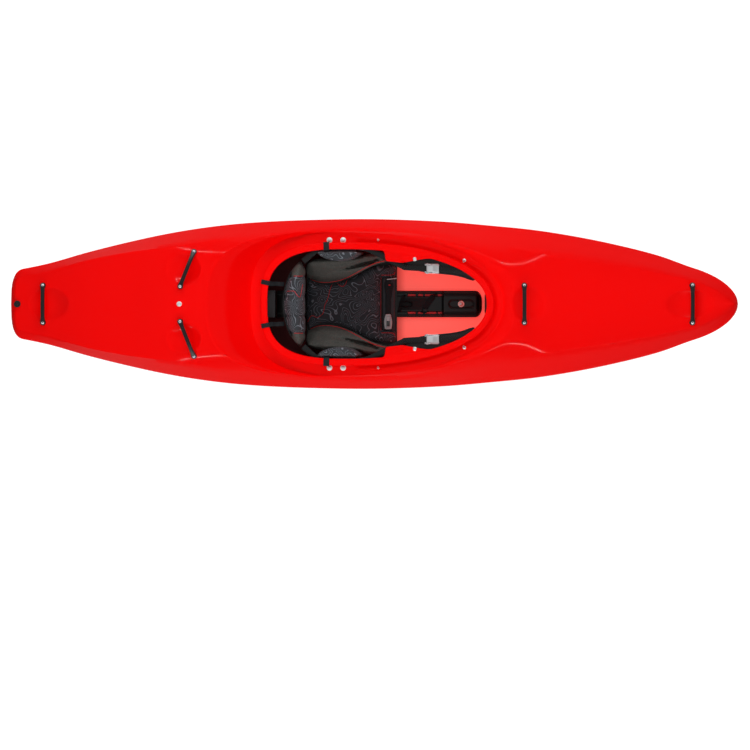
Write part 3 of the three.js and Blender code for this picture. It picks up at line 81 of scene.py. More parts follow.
# Shell
LENGTH = 2670
BEAM = 635
DEPTH = 437
WALL = 5
END_WALL = 14
FLAT_REACH = 260
STERN_ROUND, STERN_NOSE, STERN_TIP_HEIGHT = 50, 22, 328
BOW_ROUND, BOW_NOSE, BOW_TIP_HEIGHT = 150, 32, 410
HALF_LENGTH = LENGTH / 2
HALF_BEAM = BEAM / 2

# Stations as shares of the half length; breadths as shares of the half beam, heights as shares of the depth
PLACES = np.array([
    -1, -0.9, -0.79, -0.67, -0.56, -0.45, -0.34, -0.19, 0,
    0.19, 0.34, 0.45, 0.56, 0.67, 0.79, 0.9, 1,
])
GUNWALE_BREADTH = [
    0.386, 0.475, 0.61, 0.738, 0.838, 0.911, 0.958, 0.989, 1,
    0.972, 0.92, 0.872, 0.798, 0.703, 0.57, 0.402, 0.316,
]
CREASE_BREADTH = [
    0.29, 0.373, 0.506, 0.601, 0.658, 0.734, 0.797, 0.858, 0.883,
    0.832, 0.699, 0.592, 0.516, 0.452, 0.354, 0.237, 0.07,
]
KEEL_HEIGHT = [
    0.698, 0.572, 0.426, 0.279, 0.172, 0.094, 0.039, 0, 0,
    0, 0.008, 0.053, 0.13, 0.231, 0.4, 0.602, 0.881,
]
GUNWALE_HEIGHT = [
    0.75, 0.675, 0.604, 0.554, 0.517, 0.49, 0.462, 0.439, 0.428,
    0.435, 0.451, 0.476, 0.503, 0.533, 0.618, 0.742, 0.915,
]
CREASE_HEIGHT = [
    0.787, 0.805, 0.837, 0.854, 0.847, 0.778, 0.691, 0.632, 0.609,
    0.657, 0.716, 0.785, 0.81, 0.817, 0.876, 0.934, 0.977,
]
DECK_HEIGHT = [
    0.801, 0.826, 0.87, 0.892, 0.924, 0.902, 0.86, 0.755, 0.744,
    0.845, 0.915, 0.893, 0.879, 0.892, 0.918, 0.959, 1,
]
CROWN_POWER = [4, 4, 3, 2.6, 2.8, 4, 6, 6, 6, 6, 4, 2.4, 2, 2, 2, 1.8, 1.6]

# Section corners between keel and gunwale: shares of breadth and height amidships, and at the ends
SECTION_CORNERS = (((0.68, 0), (0.5, 0.145)), ((0.73, 0.2), (0.56, 0.35)), ((0.91, 0.58), (0.85, 0.65)))
CORNER_REACHES = (0.3, 0.3, 0.45, 0.12)
INSET_SHARES = ((0, 1), (0.4, 1), (0.9, 0.6), (1, 0.4), (1, 0), (1, -1))

# Cockpit rim
RIM_CENTRE = -100
RIM_REAR, RIM_SIDE, RIM_FRONT = 318, 227, 541
RIM_POWERS = (2.95, 2.15)
RIM_REAR_HEIGHT, RIM_FRONT_HEIGHT = 272, 397
RIM_RISE = 28
RIM_WALL_MIDDLE = 18
RIM_WIDTH = 25
LIP_OVERHANG = 19
LIP_THICKNESS = 7
LIP_FILLET = 4
LEDGE_WIDTH = 37
FLANGE_IN, FLANGE_OUT, FLANGE_EDGE, FLANGE_RISE = 9, 29, 3, 3
FLANGE_START, FLANGE_RAMP = -64, 6
GRIP_REACH, GRIP_FALL = 38, 10
GRIP_START, GRIP_FULL, GRIP_FADE, GRIP_END = 45, 105, 165, 250
GRIP_BLEND, GRIP_UNDER_FALL = 10, 2.5
SLOT_BOLT = (141, 166)
SLOT_OVAL_REACH, SLOT_OVAL_RADIUS, SLOT_OVAL_EDGE, SLOT_OVAL_DROP = 27, 9.5, 3, 2.5
SCOOP = (515, 270, 615, (2.9, 2.6))
DECK_REAR_STATION, DECK_FRONT_STATION = -650, 580
RIM_TILT = math.atan2(RIM_FRONT_HEIGHT - RIM_REAR_HEIGHT, RIM_REAR + RIM_FRONT)
RIM_MIDDLE = RIM_CENTRE + (RIM_FRONT - RIM_REAR) / 2
RIM_MIDDLE_HEIGHT = (RIM_REAR_HEIGHT + RIM_FRONT_HEIGHT) / 2

# Grab handles: name, place, turn, centre of the hand recess and its half lengths
HANDLES = (
    ("stern_handle", -1215, 0, 0, -1194, 0, 74, 59),
    ("rear_port_handle", -684, 128, 0.37, -694, 127, 62, 56),
    ("rear_starboard_handle", -684, -128, -0.37, -694, -127, 62, 56),
    ("front_handle", 553, 0, 0, 565, 0, 63, 60),
    ("bow_handle", 1168, 0, 0, 1156, 0, 85, 52),
)
HANDLE_SPAN = 136
BOWL_DEPTH = 20

# Grids: how many stations and rows each stretch has, and how they crowd towards the boat's ends and the deck
STERN_STATIONS, RING_STATIONS, BOW_STATIONS, END_CROWDING = 96, 124, 104, 1.35
DECK_COLUMNS = 52
OUTER_ROWS, OUTER_CROWDING, SCOOP_ROWS, INSIDE_ROWS = 18, 1.7, 14, 12
SKINS = ((0, 6, 3), (WALL, 1, 2))  # depth under the skin, points round a corner, points along a straight

# Stage: places and sizes in metres, leans in radians, the lens in mm
FLOOR_REACH, FLOOR_GAP, FLOOR_TONE, FLOOR_GLOW = 12.0, 0.001, (0.35, 0.35, 0.35), 0.85
KEY_PLACE, KEY_LEAN, KEY_SIZE = (0.0, 0.5, 4.0), -0.12, (4.0, 3.0)
STRIP_PLACE, STRIP_LEAN, STRIP_SIZE = (0.0, 2.4, 1.9), 0.9, (3.6, 0.02)
CAMERA_LENS, CAMERA_SHIFT, CAMERA_X, CAMERA_SIGHT = 191.2, -0.0947, 0.0055, 50


def mix(a, b, t):
    """a at t = 0, b at t = 1."""
    return a + (b - a) * t


def ease(t):
    """A smooth step: 3t^2 - 2t^3 between 0 and 1."""
    t = np.clip(t, 0, 1)
    return t * t * (3 - 2 * t)


def along(shares, x):
    """Cubic Hermite curve through the shares at PLACES, with the slope of each place's two neighbours."""
    shares = np.asarray(shares, float)
    u = np.clip(np.asarray(x, float) / HALF_LENGTH, -1, 1)
    i = np.clip(np.searchsorted(PLACES, u) - 1, 0, len(PLACES) - 2)
    low = np.maximum(np.arange(len(PLACES)) - 1, 0)
    high = np.minimum(np.arange(len(PLACES)) + 1, len(PLACES) - 1)
    slope = (shares[high] - shares[low]) / (PLACES[high] - PLACES[low])
    span = PLACES[i + 1] - PLACES[i]
    t = (u - PLACES[i]) / span
    lead = t * (1 - t) ** 2 * span * slope[i]
    trail = t * t * (t - 1) * span * slope[i + 1]
    return mix(shares[i], shares[i + 1], ease(t)) + lead + trail


def rounding(distance, radius, power):
    """Share of full size at a distance from a rounded end: (1 - (1 - d/R)^p)^(1/p)."""
    return (1 - (1 - np.clip(distance / radius, 0, 1)) ** power) ** (1 / power)


def end_breadth(x):
    """Share of breadth left where the plan rounds off at stern and bow."""
    return rounding(x + HALF_LENGTH, STERN_ROUND, 3) * rounding(HALF_LENGTH - x, BOW_ROUND, 2)


def end_height(x, z):
    """Height drawn to the tip's height where the profile rounds off at stern and bow."""
    z = mix(STERN_TIP_HEIGHT, z, rounding(x + HALF_LENGTH, STERN_NOSE, 2))
    return mix(BOW_TIP_HEIGHT, z, rounding(HALF_LENGTH - x, BOW_NOSE, 2))


def keel_height(x):
    """Rocker line, flat amidships."""
    return np.where(np.abs(x) < FLAT_REACH, 0, DEPTH * np.maximum(0, along(KEEL_HEIGHT, x)))


def oval(offset):
    """The rim's two half ovals, grown by an offset: rear, side and front reach, and their powers."""
    return (RIM_REAR + offset, RIM_SIDE + offset, RIM_FRONT + offset, RIM_POWERS)


def oval_level(shape, x, y):
    """(|dx/a|^p + |y/b|^p)^(1/p), which is 1 on the oval, less inside."""
    rear, side, front, powers = shape
    is_rear = x < RIM_CENTRE
    power = np.where(is_rear, powers[0], powers[1])
    u = np.abs(x - RIM_CENTRE) / np.where(is_rear, rear, front)
    return (u ** power + np.abs(y / side) ** power) ** (1 / power)


def on_oval(shape, x, y):
    """The point of the oval on the ray from the rim's centre through x, y."""
    level = oval_level(shape, x, y)
    return RIM_CENTRE + (x - RIM_CENTRE) / level, y / level


def rim_height(x):
    """Height of the rim's top: a straight slope up to the bow."""
    return mix(RIM_REAR_HEIGHT, RIM_FRONT_HEIGHT, (x - RIM_CENTRE + RIM_REAR) / (RIM_REAR + RIM_FRONT))


def bowl_depth(x, y):
    """Depth of the hand recesses: under each handle a dish, depth (1 - r^2.2), with a clear edge at r = 1."""
    depth = np.zeros(np.broadcast(x, y).shape)
    for _, _, _, _, centre_x, centre_y, reach_x, reach_y in HANDLES:
        r = np.hypot((x - centre_x) / reach_x, (y - centre_y) / reach_y)
        depth = np.maximum(depth, BOWL_DEPTH * (1 - np.clip(r, 0, 1) ** 2.2))
    return depth


def deck_height(x, y):
    """Crowned deck less the hand recesses, falling through the scoop to the ledge round the rim."""
    edge = DEPTH * along(CREASE_HEIGHT, x)
    centre = DEPTH * along(DECK_HEIGHT, x)
    breadth = np.maximum(HALF_BEAM * along(CREASE_BREADTH, x) * end_breadth(x), WALL)
    t = np.minimum(1, np.abs(y) / breadth)
    main = edge + (centre - edge) * (1 - t ** along(CROWN_POWER, x)) - bowl_depth(x, y)
    out_ledge = np.maximum(oval_level(oval(LEDGE_WIDTH), x, y) - 1, 0)
    in_scoop = 1 - oval_level(SCOOP, x, y)
    ledge = rim_height(x) - RIM_RISE
    inside = mix(ledge, main, out_ledge / np.maximum(out_ledge + in_scoop, 1e-9))
    return np.where(in_scoop <= 0, end_height(x, main), inside)


def section_controls(x, inset):
    """Corners of half a section, keel to deck crease, as (y, z) for each station, drawn in by the inset."""
    spread = np.maximum(0, (x * x - FLAT_REACH**2) / (HALF_LENGTH**2 - FLAT_REACH**2))
    breadth = HALF_BEAM * along(GUNWALE_BREADTH, x)
    keel, gunwale = keel_height(x), DEPTH * along(GUNWALE_HEIGHT, x)
    outer = [(0 * x, keel)]
    for (mid_y, mid_z), (end_y, end_z) in SECTION_CORNERS:
        outer.append((breadth * mix(mid_y, end_y, spread), mix(keel, gunwale, mix(mid_z, end_z, spread))))
    outer += [(breadth, gunwale), (HALF_BEAM * along(CREASE_BREADTH, x), DEPTH * along(CREASE_HEIGHT, x))]
    points = [
        (np.maximum(y * end_breadth(x) - inset * in_y, 0), end_height(x, z) + inset * in_z)
        for (y, z), (in_y, in_z) in zip(outer, INSET_SHARES)
    ]
    return np.array([np.stack(p, -1) for p in points])


def side_section(x, samples, runs, inset):
    """Half sections as stations by points by (y, z): straight runs between quadratic Bezier corners."""
    control = section_controls(x, inset)
    rows, at = [control[0]], control[0]
    for c, reach in enumerate(CORNER_REACHES, 1):
        start, end = mix(control[c], control[c - 1], reach), mix(control[c], control[c + 1], reach)
        rows += [mix(at, start, k / runs) for k in range(1, runs)]
        for t in np.linspace(0, 1, samples) if samples > 1 else (0.5,):
            rows.append(mix(mix(start, control[c], t), mix(control[c], end, t), t))
        at = end
    rows += [mix(at, control[-1], k / runs) for k in range(1, runs + 1)]
    return np.stack(rows, 1)


def at_stations(x, yz):
    """Points from stations x and (y, z) rows."""
    return np.concatenate([np.broadcast_to(x[:, None, None], yz.shape[:2] + (1,)), yz], -1)


def hull_grid(x, samples, runs, inset):
    """Rows of stations from starboard crease under the keel to the port crease."""
    port = at_stations(x, side_section(x, samples, runs, inset))
    return np.concatenate([port[:, :0:-1] * (1, -1, 1), port], 1)


def deck_grid(x, count, inset):
    """Rows of stations from port crease to starboard crease, closer together towards the creases."""
    crease = section_controls(x, inset)[-1]
    k = np.linspace(0, 1, count + 1)
    share = mix(np.cos(np.pi * k), 1 - 2 * k, 0.5)
    y = crease[:, :1] * share
    z = deck_height(x[:, None], y) - inset
    z[:, 0] = z[:, -1] = crease[:, 1]
    return np.stack([np.broadcast_to(x[:, None], y.shape), y, z], -1)


def grip_reach(x):
    """How far the thigh grips stand in from the rim at x."""
    rise = ease((x - GRIP_START) / (GRIP_FULL - GRIP_START))
    return GRIP_REACH * rise * ease((GRIP_END - x) / (GRIP_END - GRIP_FADE))


def slot_oval(x, y):
    """1 on the raised oval that the slot bolt stands on, 0 off it."""
    bolt_x, bolt_y = SLOT_BOLT
    nearest = np.clip(x, bolt_x - SLOT_OVAL_REACH, bolt_x + SLOT_OVAL_REACH)
    return 1 - ease((np.hypot(x - nearest, np.abs(y) - bolt_y) - SLOT_OVAL_RADIUS) / SLOT_OVAL_EDGE)


def cockpit_rows(outer, inner):
    """Rows of the cockpit deck: from the outer skin in to the rim, over its lip and back under it.

    Each row has a fixed offset from the rim's oval and a fixed drop from its top, or lies on the deck.
    """
    ox, oy = outer[:, 0], outer[:, 1]
    lip_x, _ = on_oval(oval(0), ox, oy)
    grip = grip_reach(lip_x)
    fall = GRIP_FALL * grip / GRIP_REACH
    share = np.minimum(1, grip / GRIP_BLEND)
    edge = -RIM_WIDTH - grip
    scoop_x, scoop_y = on_oval(SCOOP, ox, oy)
    ledge_x, ledge_y = on_oval(oval(LEDGE_WIDTH), ox, oy)
    half = LIP_THICKNESS / 2
    flange_drop = RIM_RISE - FLANGE_RISE * ease((lip_x - FLANGE_START) / FLANGE_RAMP)

    def deck(t, from_x, from_y, to_x, to_y, inset):
        x, y = mix(from_x, to_x, t), mix(from_y, to_y, t)
        return np.stack([x, y, deck_height(x, y) - inset], -1)

    def at(offset, drop):
        x, y = on_oval(oval(offset), ox, oy)
        return np.stack([x, y, rim_height(x) - drop + 0 * ox], -1)

    rows = [outer]
    for k in range(1, OUTER_ROWS):
        rows.append(deck((k / OUTER_ROWS) ** OUTER_CROWDING, ox, oy, scoop_x, scoop_y, 0))
    rows += [deck(k / SCOOP_ROWS, scoop_x, scoop_y, ledge_x, ledge_y, 0) for k in range(SCOOP_ROWS)]
    profile = [
        (LEDGE_WIDTH, RIM_RISE), (FLANGE_OUT + FLANGE_EDGE, RIM_RISE), (FLANGE_OUT, flange_drop),
        (FLANGE_IN, flange_drop), (FLANGE_IN - FLANGE_EDGE, RIM_RISE), (0, RIM_RISE),
        (LIP_FILLET - LIP_OVERHANG, RIM_RISE), (1 - LIP_OVERHANG, RIM_RISE - 1),
        (-LIP_OVERHANG, RIM_RISE - LIP_FILLET), (-LIP_OVERHANG, LIP_THICKNESS + 3),
        (1 - LIP_OVERHANG, LIP_THICKNESS + 0.8), (3 - LIP_OVERHANG, LIP_THICKNESS),
    ]
    turn = np.linspace(0, np.pi, 9)
    profile += [(-half + half * math.sin(a), half + half * math.cos(a)) for a in turn]
    rows += [at(offset, drop) for offset, drop in profile + [(-8, 0), (-14, 0)]]
    for s in np.linspace(0, 1, 13):
        x, y = on_oval(oval(mix(-RIM_WIDTH + half, edge + half, s)), ox, oy)
        raised = slot_oval(x, y) * np.minimum(1, grip / (2 * GRIP_BLEND))
        rows.append(np.stack([x, y, rim_height(x) - mix(fall * ease(s), SLOT_OVAL_DROP, raised)], -1))
    for a in turn[1:]:
        out = np.where(a > np.pi / 2, mix(1, math.sin(a), share), math.sin(a))
        rows.append(at(edge + half - half * out, fall + half - half * math.cos(a)))
    for s in (0.35, 0.7, 1):
        rows.append(at(mix(edge, -RIM_WIDTH, s), fall + LIP_THICKNESS + GRIP_UNDER_FALL * s))
    rows += [at(-RIM_WIDTH, RIM_WALL_MIDDLE), at(-RIM_WIDTH, RIM_RISE + WALL)]
    rows.append(np.stack([ledge_x, ledge_y, deck_height(ledge_x, ledge_y) - WALL], -1))
    rows += [deck(k / 6, ledge_x, ledge_y, scoop_x, scoop_y, WALL) for k in range(1, 6)]
    rows += [deck(k / 4, scoop_x, scoop_y, inner[:, 0], inner[:, 1], WALL) for k in range(4)]
    return np.stack(rows + [inner])


# Shapes: every function gives (points in mm, faces)
def grid(rows, turned=False):
    """Quads between neighbouring rows of a grid of points."""
    rows = np.asarray(rows, float)
    k = np.arange(rows.shape[0] * rows.shape[1]).reshape(rows.shape[:2])
    faces = np.stack([k[:-1, :-1], k[1:, :-1], k[1:, 1:], k[:-1, 1:]], -1).reshape(-1, 4)
    return rows.reshape(-1, 3), (faces[:, ::-1] if turned else faces).tolist()


def joined(*shapes):
    """Several shapes as one."""
    points, faces, start = [], [], 0
    for p, f in shapes:
        points.append(np.asarray(p, float))
        faces += [[k + start for k in face] for face in f]
        start += len(p)
    return np.concatenate(points), faces


def moved(shape, change):
    """The shape with its points put through a function."""
    return change(np.asarray(shape[0], float)), shape[1]


def sided(shape, side):
    """The port shape as it is, or mirrored to starboard."""
    points, faces = shape
    return (points, faces) if side > 0 else (points * (1, -1, 1), [face[::-1] for face in faces])


def in_rim(points):
    """From the rim's sloping plane, x along it and z off it, to the boat's frame."""
    x, y, z = np.moveaxis(np.asarray(points, float), -1, 0)
    c, s = math.cos(RIM_TILT), math.sin(RIM_TILT)
    return np.stack([RIM_MIDDLE + x * c - z * s, y, RIM_MIDDLE_HEIGHT + x * s + z * c], -1)


def smooth_path(points, count, closed=False):
    """Catmull-Rom curve through the points, as count points evenly spaced in the parameter."""
    p = np.asarray(points, float)
    n = len(p) if closed else len(p) - 1
    t = np.linspace(0, n, count, endpoint=not closed)
    i = np.minimum(t.astype(int), n - 1)
    f = (t - i)[:, None]
    at = (lambda k: p[k % len(p)]) if closed else (lambda k: p[np.clip(k, 0, len(p) - 1)])
    a, b, c, d = at(i - 1), at(i), at(i + 1), at(i + 2)
    return 0.5 * (2 * b + (c - a) * f + (2 * a - 5 * b + 4 * c - d) * f**2 + (3 * b - a - 3 * c + d) * f**3)


def rounded_rect(width, height, radius, steps=3):
    """Closed section of (across, up) with rounded corners."""
    rows = []
    for q, (sx, sy) in enumerate(((1, 1), (-1, 1), (-1, -1), (1, -1))):
        for a in np.linspace(0, math.pi / 2, steps + 1) + q * math.pi / 2:
            across = sx * (width / 2 - radius) + radius * math.cos(a)
            rows.append((across, sy * (height / 2 - radius) + radius * math.sin(a)))
    return np.array(rows)


def sweep(path, section, across, taper=1.0):
    """A section of (across, up) carried along a path, square to it, with closed ends.

    The section's first direction is `across`; taper scales it at each point of the path.
    """
    path = np.asarray(path, float)
    way = np.gradient(path, axis=0)
    way /= np.linalg.norm(way, axis=1, keepdims=True) + 1e-12
    across = np.broadcast_to(np.asarray(across, float), path.shape)
    across = across - way * (across * way).sum(1, keepdims=True)
    across /= np.linalg.norm(across, axis=1, keepdims=True)
    up = np.cross(way, across)
    scale = np.broadcast_to(np.asarray(taper, float), (len(path), 2))
    ring = np.concatenate([section, section[:1]])
    rows = path[:, None] + across[:, None] * ring[None, :, :1] * scale[:, None, :1]
    rows = rows + up[:, None] * ring[None, :, 1:] * scale[:, None, 1:]
    caps = [np.broadcast_to(path[k], rows[0].shape) for k in (0, -1)]
    return grid(np.concatenate([caps[:1], rows, caps[1:]]))


def lathe(profile, foot, axis=(0, 0, 1), sides=32):
    """A profile of (radius, height) turned about the axis through foot."""
    axis = np.array(axis, float) / np.linalg.norm(axis)
    side = np.cross(axis, (0, 1, 0) if abs(axis[1]) < 0.9 else (1, 0, 0))
    side /= np.linalg.norm(side)
    other = np.cross(axis, side)
    a = np.linspace(0, 2 * math.pi, sides + 1)
    ring = np.cos(a)[:, None] * side + np.sin(a)[:, None] * other
    p = np.array(profile, float)
    return grid(np.array(foot, float) + p[:, :1, None] * ring[None] + p[:, 1:, None] * axis, True)


def signed_area(outline):
    """Twice the area inside a closed outline, positive where it runs anticlockwise."""
    x, y = outline[:, 0], outline[:, 1]
    return (x * np.roll(y, -1) - np.roll(x, -1) * y).sum()


def grown(outline, by):
    """A closed outline of (x, y) moved out along its own normals."""
    p = np.asarray(outline, float)
    way = np.roll(p, -1, 0) - np.roll(p, 1, 0)
    normal = np.stack([way[:, 1], -way[:, 0]], -1) / (np.linalg.norm(way, axis=1, keepdims=True) + 1e-9)
    return p + normal * by * np.sign(signed_area(p))


def rectangle(low_x, high_x, low_y, high_y):
    """Closed outline of a rectangle."""
    return np.array([(low_x, low_y), (high_x, low_y), (high_x, high_y), (low_x, high_y)], float)


def slab(outline, low, high, radius, steps=3):
    """A plate of an outline of (x, y) between two heights, with rounded edges; a height may be a function."""
    rows = []
    for level, up, start, end in ((low, 1, 0, math.pi / 2), (high, -1, math.pi / 2, 0)):
        for a in np.linspace(start, end, steps + 1):
            x, y = grown(outline, -radius * (1 - math.sin(a))).T
            z = (level(x, y) if callable(level) else level + 0 * x) + up * radius * (1 - math.cos(a))
            rows.append(np.column_stack([x, y, z]))
    n = len(outline)
    points, faces = grid([np.concatenate([row, row[:1]]) for row in rows], True)
    first = list(range(n))
    last = [(len(rows) - 1) * (n + 1) + k for k in range(n)]
    if signed_area(rows[0]) < 0:
        return points, [face[::-1] for face in faces] + [first, last[::-1]]
    return points, faces + [first[::-1], last]


def on_rim(shape, side):
    """A port shape of the rim's plane put on the boat, to port or mirrored to starboard."""
    return moved(sided(shape, side), in_rim)


def on_edge(shape):
    """A plate turned up on its edge: its y is height and its height is y."""
    return moved(shape, lambda p: p[:, [0, 2, 1]])


def make_piece(name, shapes, body, slot, nodes=(), sharp=40, merge=0.02):
    """One object from (shape, material) pairs: doubles merged, normals out, edges sharp by angle."""
    materials = list(dict.fromkeys(material for _, material in shapes))
    points, faces = joined(*[shape for shape, _ in shapes])
    mesh = bpy.data.meshes.new(name)
    mesh.from_pydata(points * MM, [], faces)
    for material in materials:
        mesh.materials.append(bpy.data.materials[material])
    numbers = [materials.index(material) for (_, f), material in shapes for _ in f]
    mesh.polygons.foreach_set("material_index", numbers)
    work = bmesh.new()
    work.from_mesh(mesh)
    bmesh.ops.remove_doubles(work, verts=work.verts, dist=merge * MM)
    bmesh.ops.dissolve_degenerate(work, edges=work.edges, dist=merge * MM / 4)
    bmesh.ops.recalc_face_normals(work, faces=work.faces)
    work.to_mesh(mesh)
    work.free()
    mesh.shade_smooth()
    mesh.set_sharp_from_angle(angle=math.radians(sharp))
    piece = bpy.data.objects.new(name, mesh)
    bpy.context.scene.collection.objects.link(piece)
    if body:
        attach(piece, body)
    if nodes:
        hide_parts(*nodes)
    return piece


# Materials
WAVE_TURN = math.pi / 10  # turns a wave texture's scale into one repeat for each unit
DAYLIGHT_START, DAYLIGHT_FULL, DAYLIGHT_GLOW = 50, 120, 0.5
CONTOUR_LEVELS = 40.0


def linear(code):
    """Linear colour of an sRGB hex code."""
    rgb = np.array([int(code[k : k + 2], 16) for k in (0, 2, 4)]) / 255
    rgb = np.where(rgb <= 0.04045, rgb / 12.92, ((rgb + 0.055) / 1.055) ** 2.4)
    return (*rgb.tolist(), 1.0)


def add_node(tree, kind, inputs=(), **settings):
    """One shader node; each input is a value or another node's output."""
    made = tree.nodes.new("ShaderNode" + kind)
    for key, value in settings.items():
        setattr(made, key, value)
    for key, value in dict(inputs).items():
        if isinstance(value, bpy.types.NodeSocket):
            tree.links.new(value, made.inputs[key])
        else:
            made.inputs[key].default_value = value
    return made


def new_material(name, color, roughness, **more):
    """A Principled material; returns its tree and shader so that patterns can be put in."""
    material = bpy.data.materials.new(name)
    material.use_nodes = True
    tree = material.node_tree
    shader = next(n for n in tree.nodes if n.type == "BSDF_PRINCIPLED")
    shader.inputs["Base Color"].default_value = color
    shader.inputs["Roughness"].default_value = roughness
    for key, value in more.items():
        shader.inputs[key.replace("_", " ").title().replace("Ior", "IOR")].default_value = value
    return tree, shader


def pattern(size):
    """Texture scale for a pattern whose repeats are that many mm apart."""
    return 1 / (size * MM)


def object_place(tree):
    """The piece's own coordinates, in metres."""
    return add_node(tree, "TexCoord").outputs["Object"]


def bumped(tree, shader, height, depth):
    """A height pattern as bump, depth in mm."""
    bump = add_node(tree, "Bump", {"Height": height, "Distance": depth * MM, "Strength": 1.0})
    tree.links.new(bump.outputs["Normal"], shader.inputs["Normal"])


def textured(tree, shader, kind, size, depth, output=0, inputs=(), **settings):
    """A pattern on the piece's own coordinates, its repeats size mm apart, as bump of a depth in mm."""
    asked = {"Vector": object_place(tree), "Scale": pattern(size), **dict(inputs)}
    made = add_node(tree, kind, asked, **settings)
    bumped(tree, shader, made.outputs[output], depth)
    return made


def two_tone(tree, shader, share, low, high):
    """Base colour between two hex colours by a share of 0 to 1."""
    tone = add_node(tree, "Mix", {"Factor": share, 6: linear(low), 7: linear(high)}, data_type="RGBA")
    tree.links.new(tone.outputs[2], shader.inputs["Base Color"])


def make_plastics(look):
    """Moulded plastics: the shell's two skins, the black fittings, the cam buckle and the washers."""
    # Rotomoulded polyethylene: saturated red under a thin gloss, with a faint orange-peel surface
    gloss = {"specular_ior_level": 0.0, "coat_weight": 0.1, "coat_ior": 1.4, "coat_roughness": 0.07}
    tree, shader = new_material("red_polyethylene", (*look.shell_color, 1), look.shell_roughness, **gloss)
    textured(tree, shader, "TexNoise", 4, 0.08, inputs={"Detail": 2.0})
    # The inside of the moulding: painted shade, dark behind the seat, and a painted glow, pale where daylight
    # comes through it
    tree, shader = new_material("inner_polyethylene", linear("F2625C"), 0.5, specular_ior_level=0.2)
    place = add_node(tree, "SeparateXYZ", {"Vector": object_place(tree)})
    inputs = {"Value": place.outputs[0], "From Min": DAYLIGHT_START * MM, "From Max": DAYLIGHT_FULL * MM}
    lit = add_node(tree, "MapRange", inputs).outputs[0]
    # Base colour runs from painted shade (4A0608) behind the seat to painted light (FF8C84) in front
    two_tone(tree, shader, lit, "4A0608", "FF8C84")
    # The emission is a painted glow standing in for daylight through the plastic; it is no lamp
    shader.inputs["Emission Color"].default_value = linear("FF5A50")
    glow = add_node(tree, "Math", {0: lit, 1: DAYLIGHT_GLOW}, operation="MULTIPLY")
    tree.links.new(glow.outputs[0], shader.inputs["Emission Strength"])
    # The hull's floor seen through the tray's slots
    new_material("polyethylene_floor", linear("D8151B"), 0.5)
    # Black injection-moulded nylon with a fine grain
    tree, shader = new_material("moulded_nylon", linear("0C0D0E"), 0.3, specular_ior_level=0.2)
    textured(tree, shader, "TexNoise", 1.1, 0.1)
    # Pale nylon washers under the bolts
    new_material("nylon_washer", linear("D9D6D2"), 0.45)
    # Grey cast plastic of the cam buckle, and its dark window
    new_material("cast_acetal", linear("A6A9AC"), 0.35)
    new_material("dark_acetal", linear("0A0A0A"), 0.3)


def make_metal_and_rubber():
    """Steel bolts and ratchets, and the drain plug's seal."""
    # Stainless steel, polished and a little scuffed, so that its highlights spread
    new_material("polished_stainless", linear("B4B6B8"), 0.36, metallic=1.0)
    # Black rubber, dull all over
    new_material("nitrile_rubber", linear("111111"), 0.65)


def make_cloths():
    """Webbing, printed cover, spacer mesh, twill, thread and the foam."""
    # Woven nylon webbing: ribs across its run
    tree, shader = new_material("nylon_webbing", linear("121316"), 0.7, specular_ior_level=0.2)
    ribs = {"Scale": pattern(2.6) * WAVE_TURN}
    textured(tree, shader, "TexWave", 2.6, 0.3, 1, ribs, bands_direction="X")
    # Printed stretch fabric: charcoal with thin grey contour lines, one at each whole level of a soft noise
    tree, shader = new_material("printed_polyester", linear("24262B"), 0.85)
    inputs = {"Vector": object_place(tree), "Scale": pattern(77), "Detail": 1.2, "Distortion": 0.5}
    level = add_node(tree, "TexNoise", inputs)
    level = add_node(tree, "Math", {0: level.outputs[0], 1: CONTOUR_LEVELS}, operation="MULTIPLY")
    level = add_node(tree, "Math", {0: level.outputs[0], 1: 1.0}, operation="PINGPONG")
    inputs = {"Value": level.outputs[0], "From Min": 0.0, "From Max": 0.2, "To Min": 1.0, "To Max": 0.0}
    two_tone(tree, shader, add_node(tree, "MapRange", inputs).outputs[0], "1D1F24", "757B84")
    textured(tree, shader, "TexNoise", 1.4, 0.15)
    # Spacer mesh on the hip pads: dark grey with small cells
    tree, shader = new_material("polyester_spacer_mesh", linear("4E4E4A"), 0.8)
    cells = textured(tree, shader, "TexVoronoi", 3.3, 0.5, "Distance")
    two_tone(tree, shader, cells.outputs["Distance"], "1E1E1C", "42423D")
    # Closed-cell foam, cut, with its cells just seen
    tree, shader = new_material("polyethylene_foam", linear("1A1B1D"), 0.92)
    textured(tree, shader, "TexNoise", 2, 0.3)
    # Smooth charcoal cloth of the leg lifter
    tree, shader = new_material("nylon_twill", linear("2B2C30"), 0.85)
    textured(tree, shader, "TexNoise", 1.25, 0.15)
    # Red piping and stitching
    new_material("polyester_thread", linear("B01218"), 0.7)


def make_materials(look):
    """Every material of the boat."""
    make_plastics(look)
    make_metal_and_rubber()
    make_cloths()


def shown_rays(tree):
    """1 on the rays that show the backdrop: from the camera, off gloss and through glass."""
    path = add_node(tree, "LightPath").outputs
    seen = add_node(tree, "Math", {0: path["Is Camera Ray"], 1: path["Is Glossy Ray"]}, operation="MAXIMUM")
    inputs = {0: seen.outputs[0], 1: path["Is Transmission Ray"]}
    return add_node(tree, "Math", inputs, operation="MAXIMUM").outputs[0]


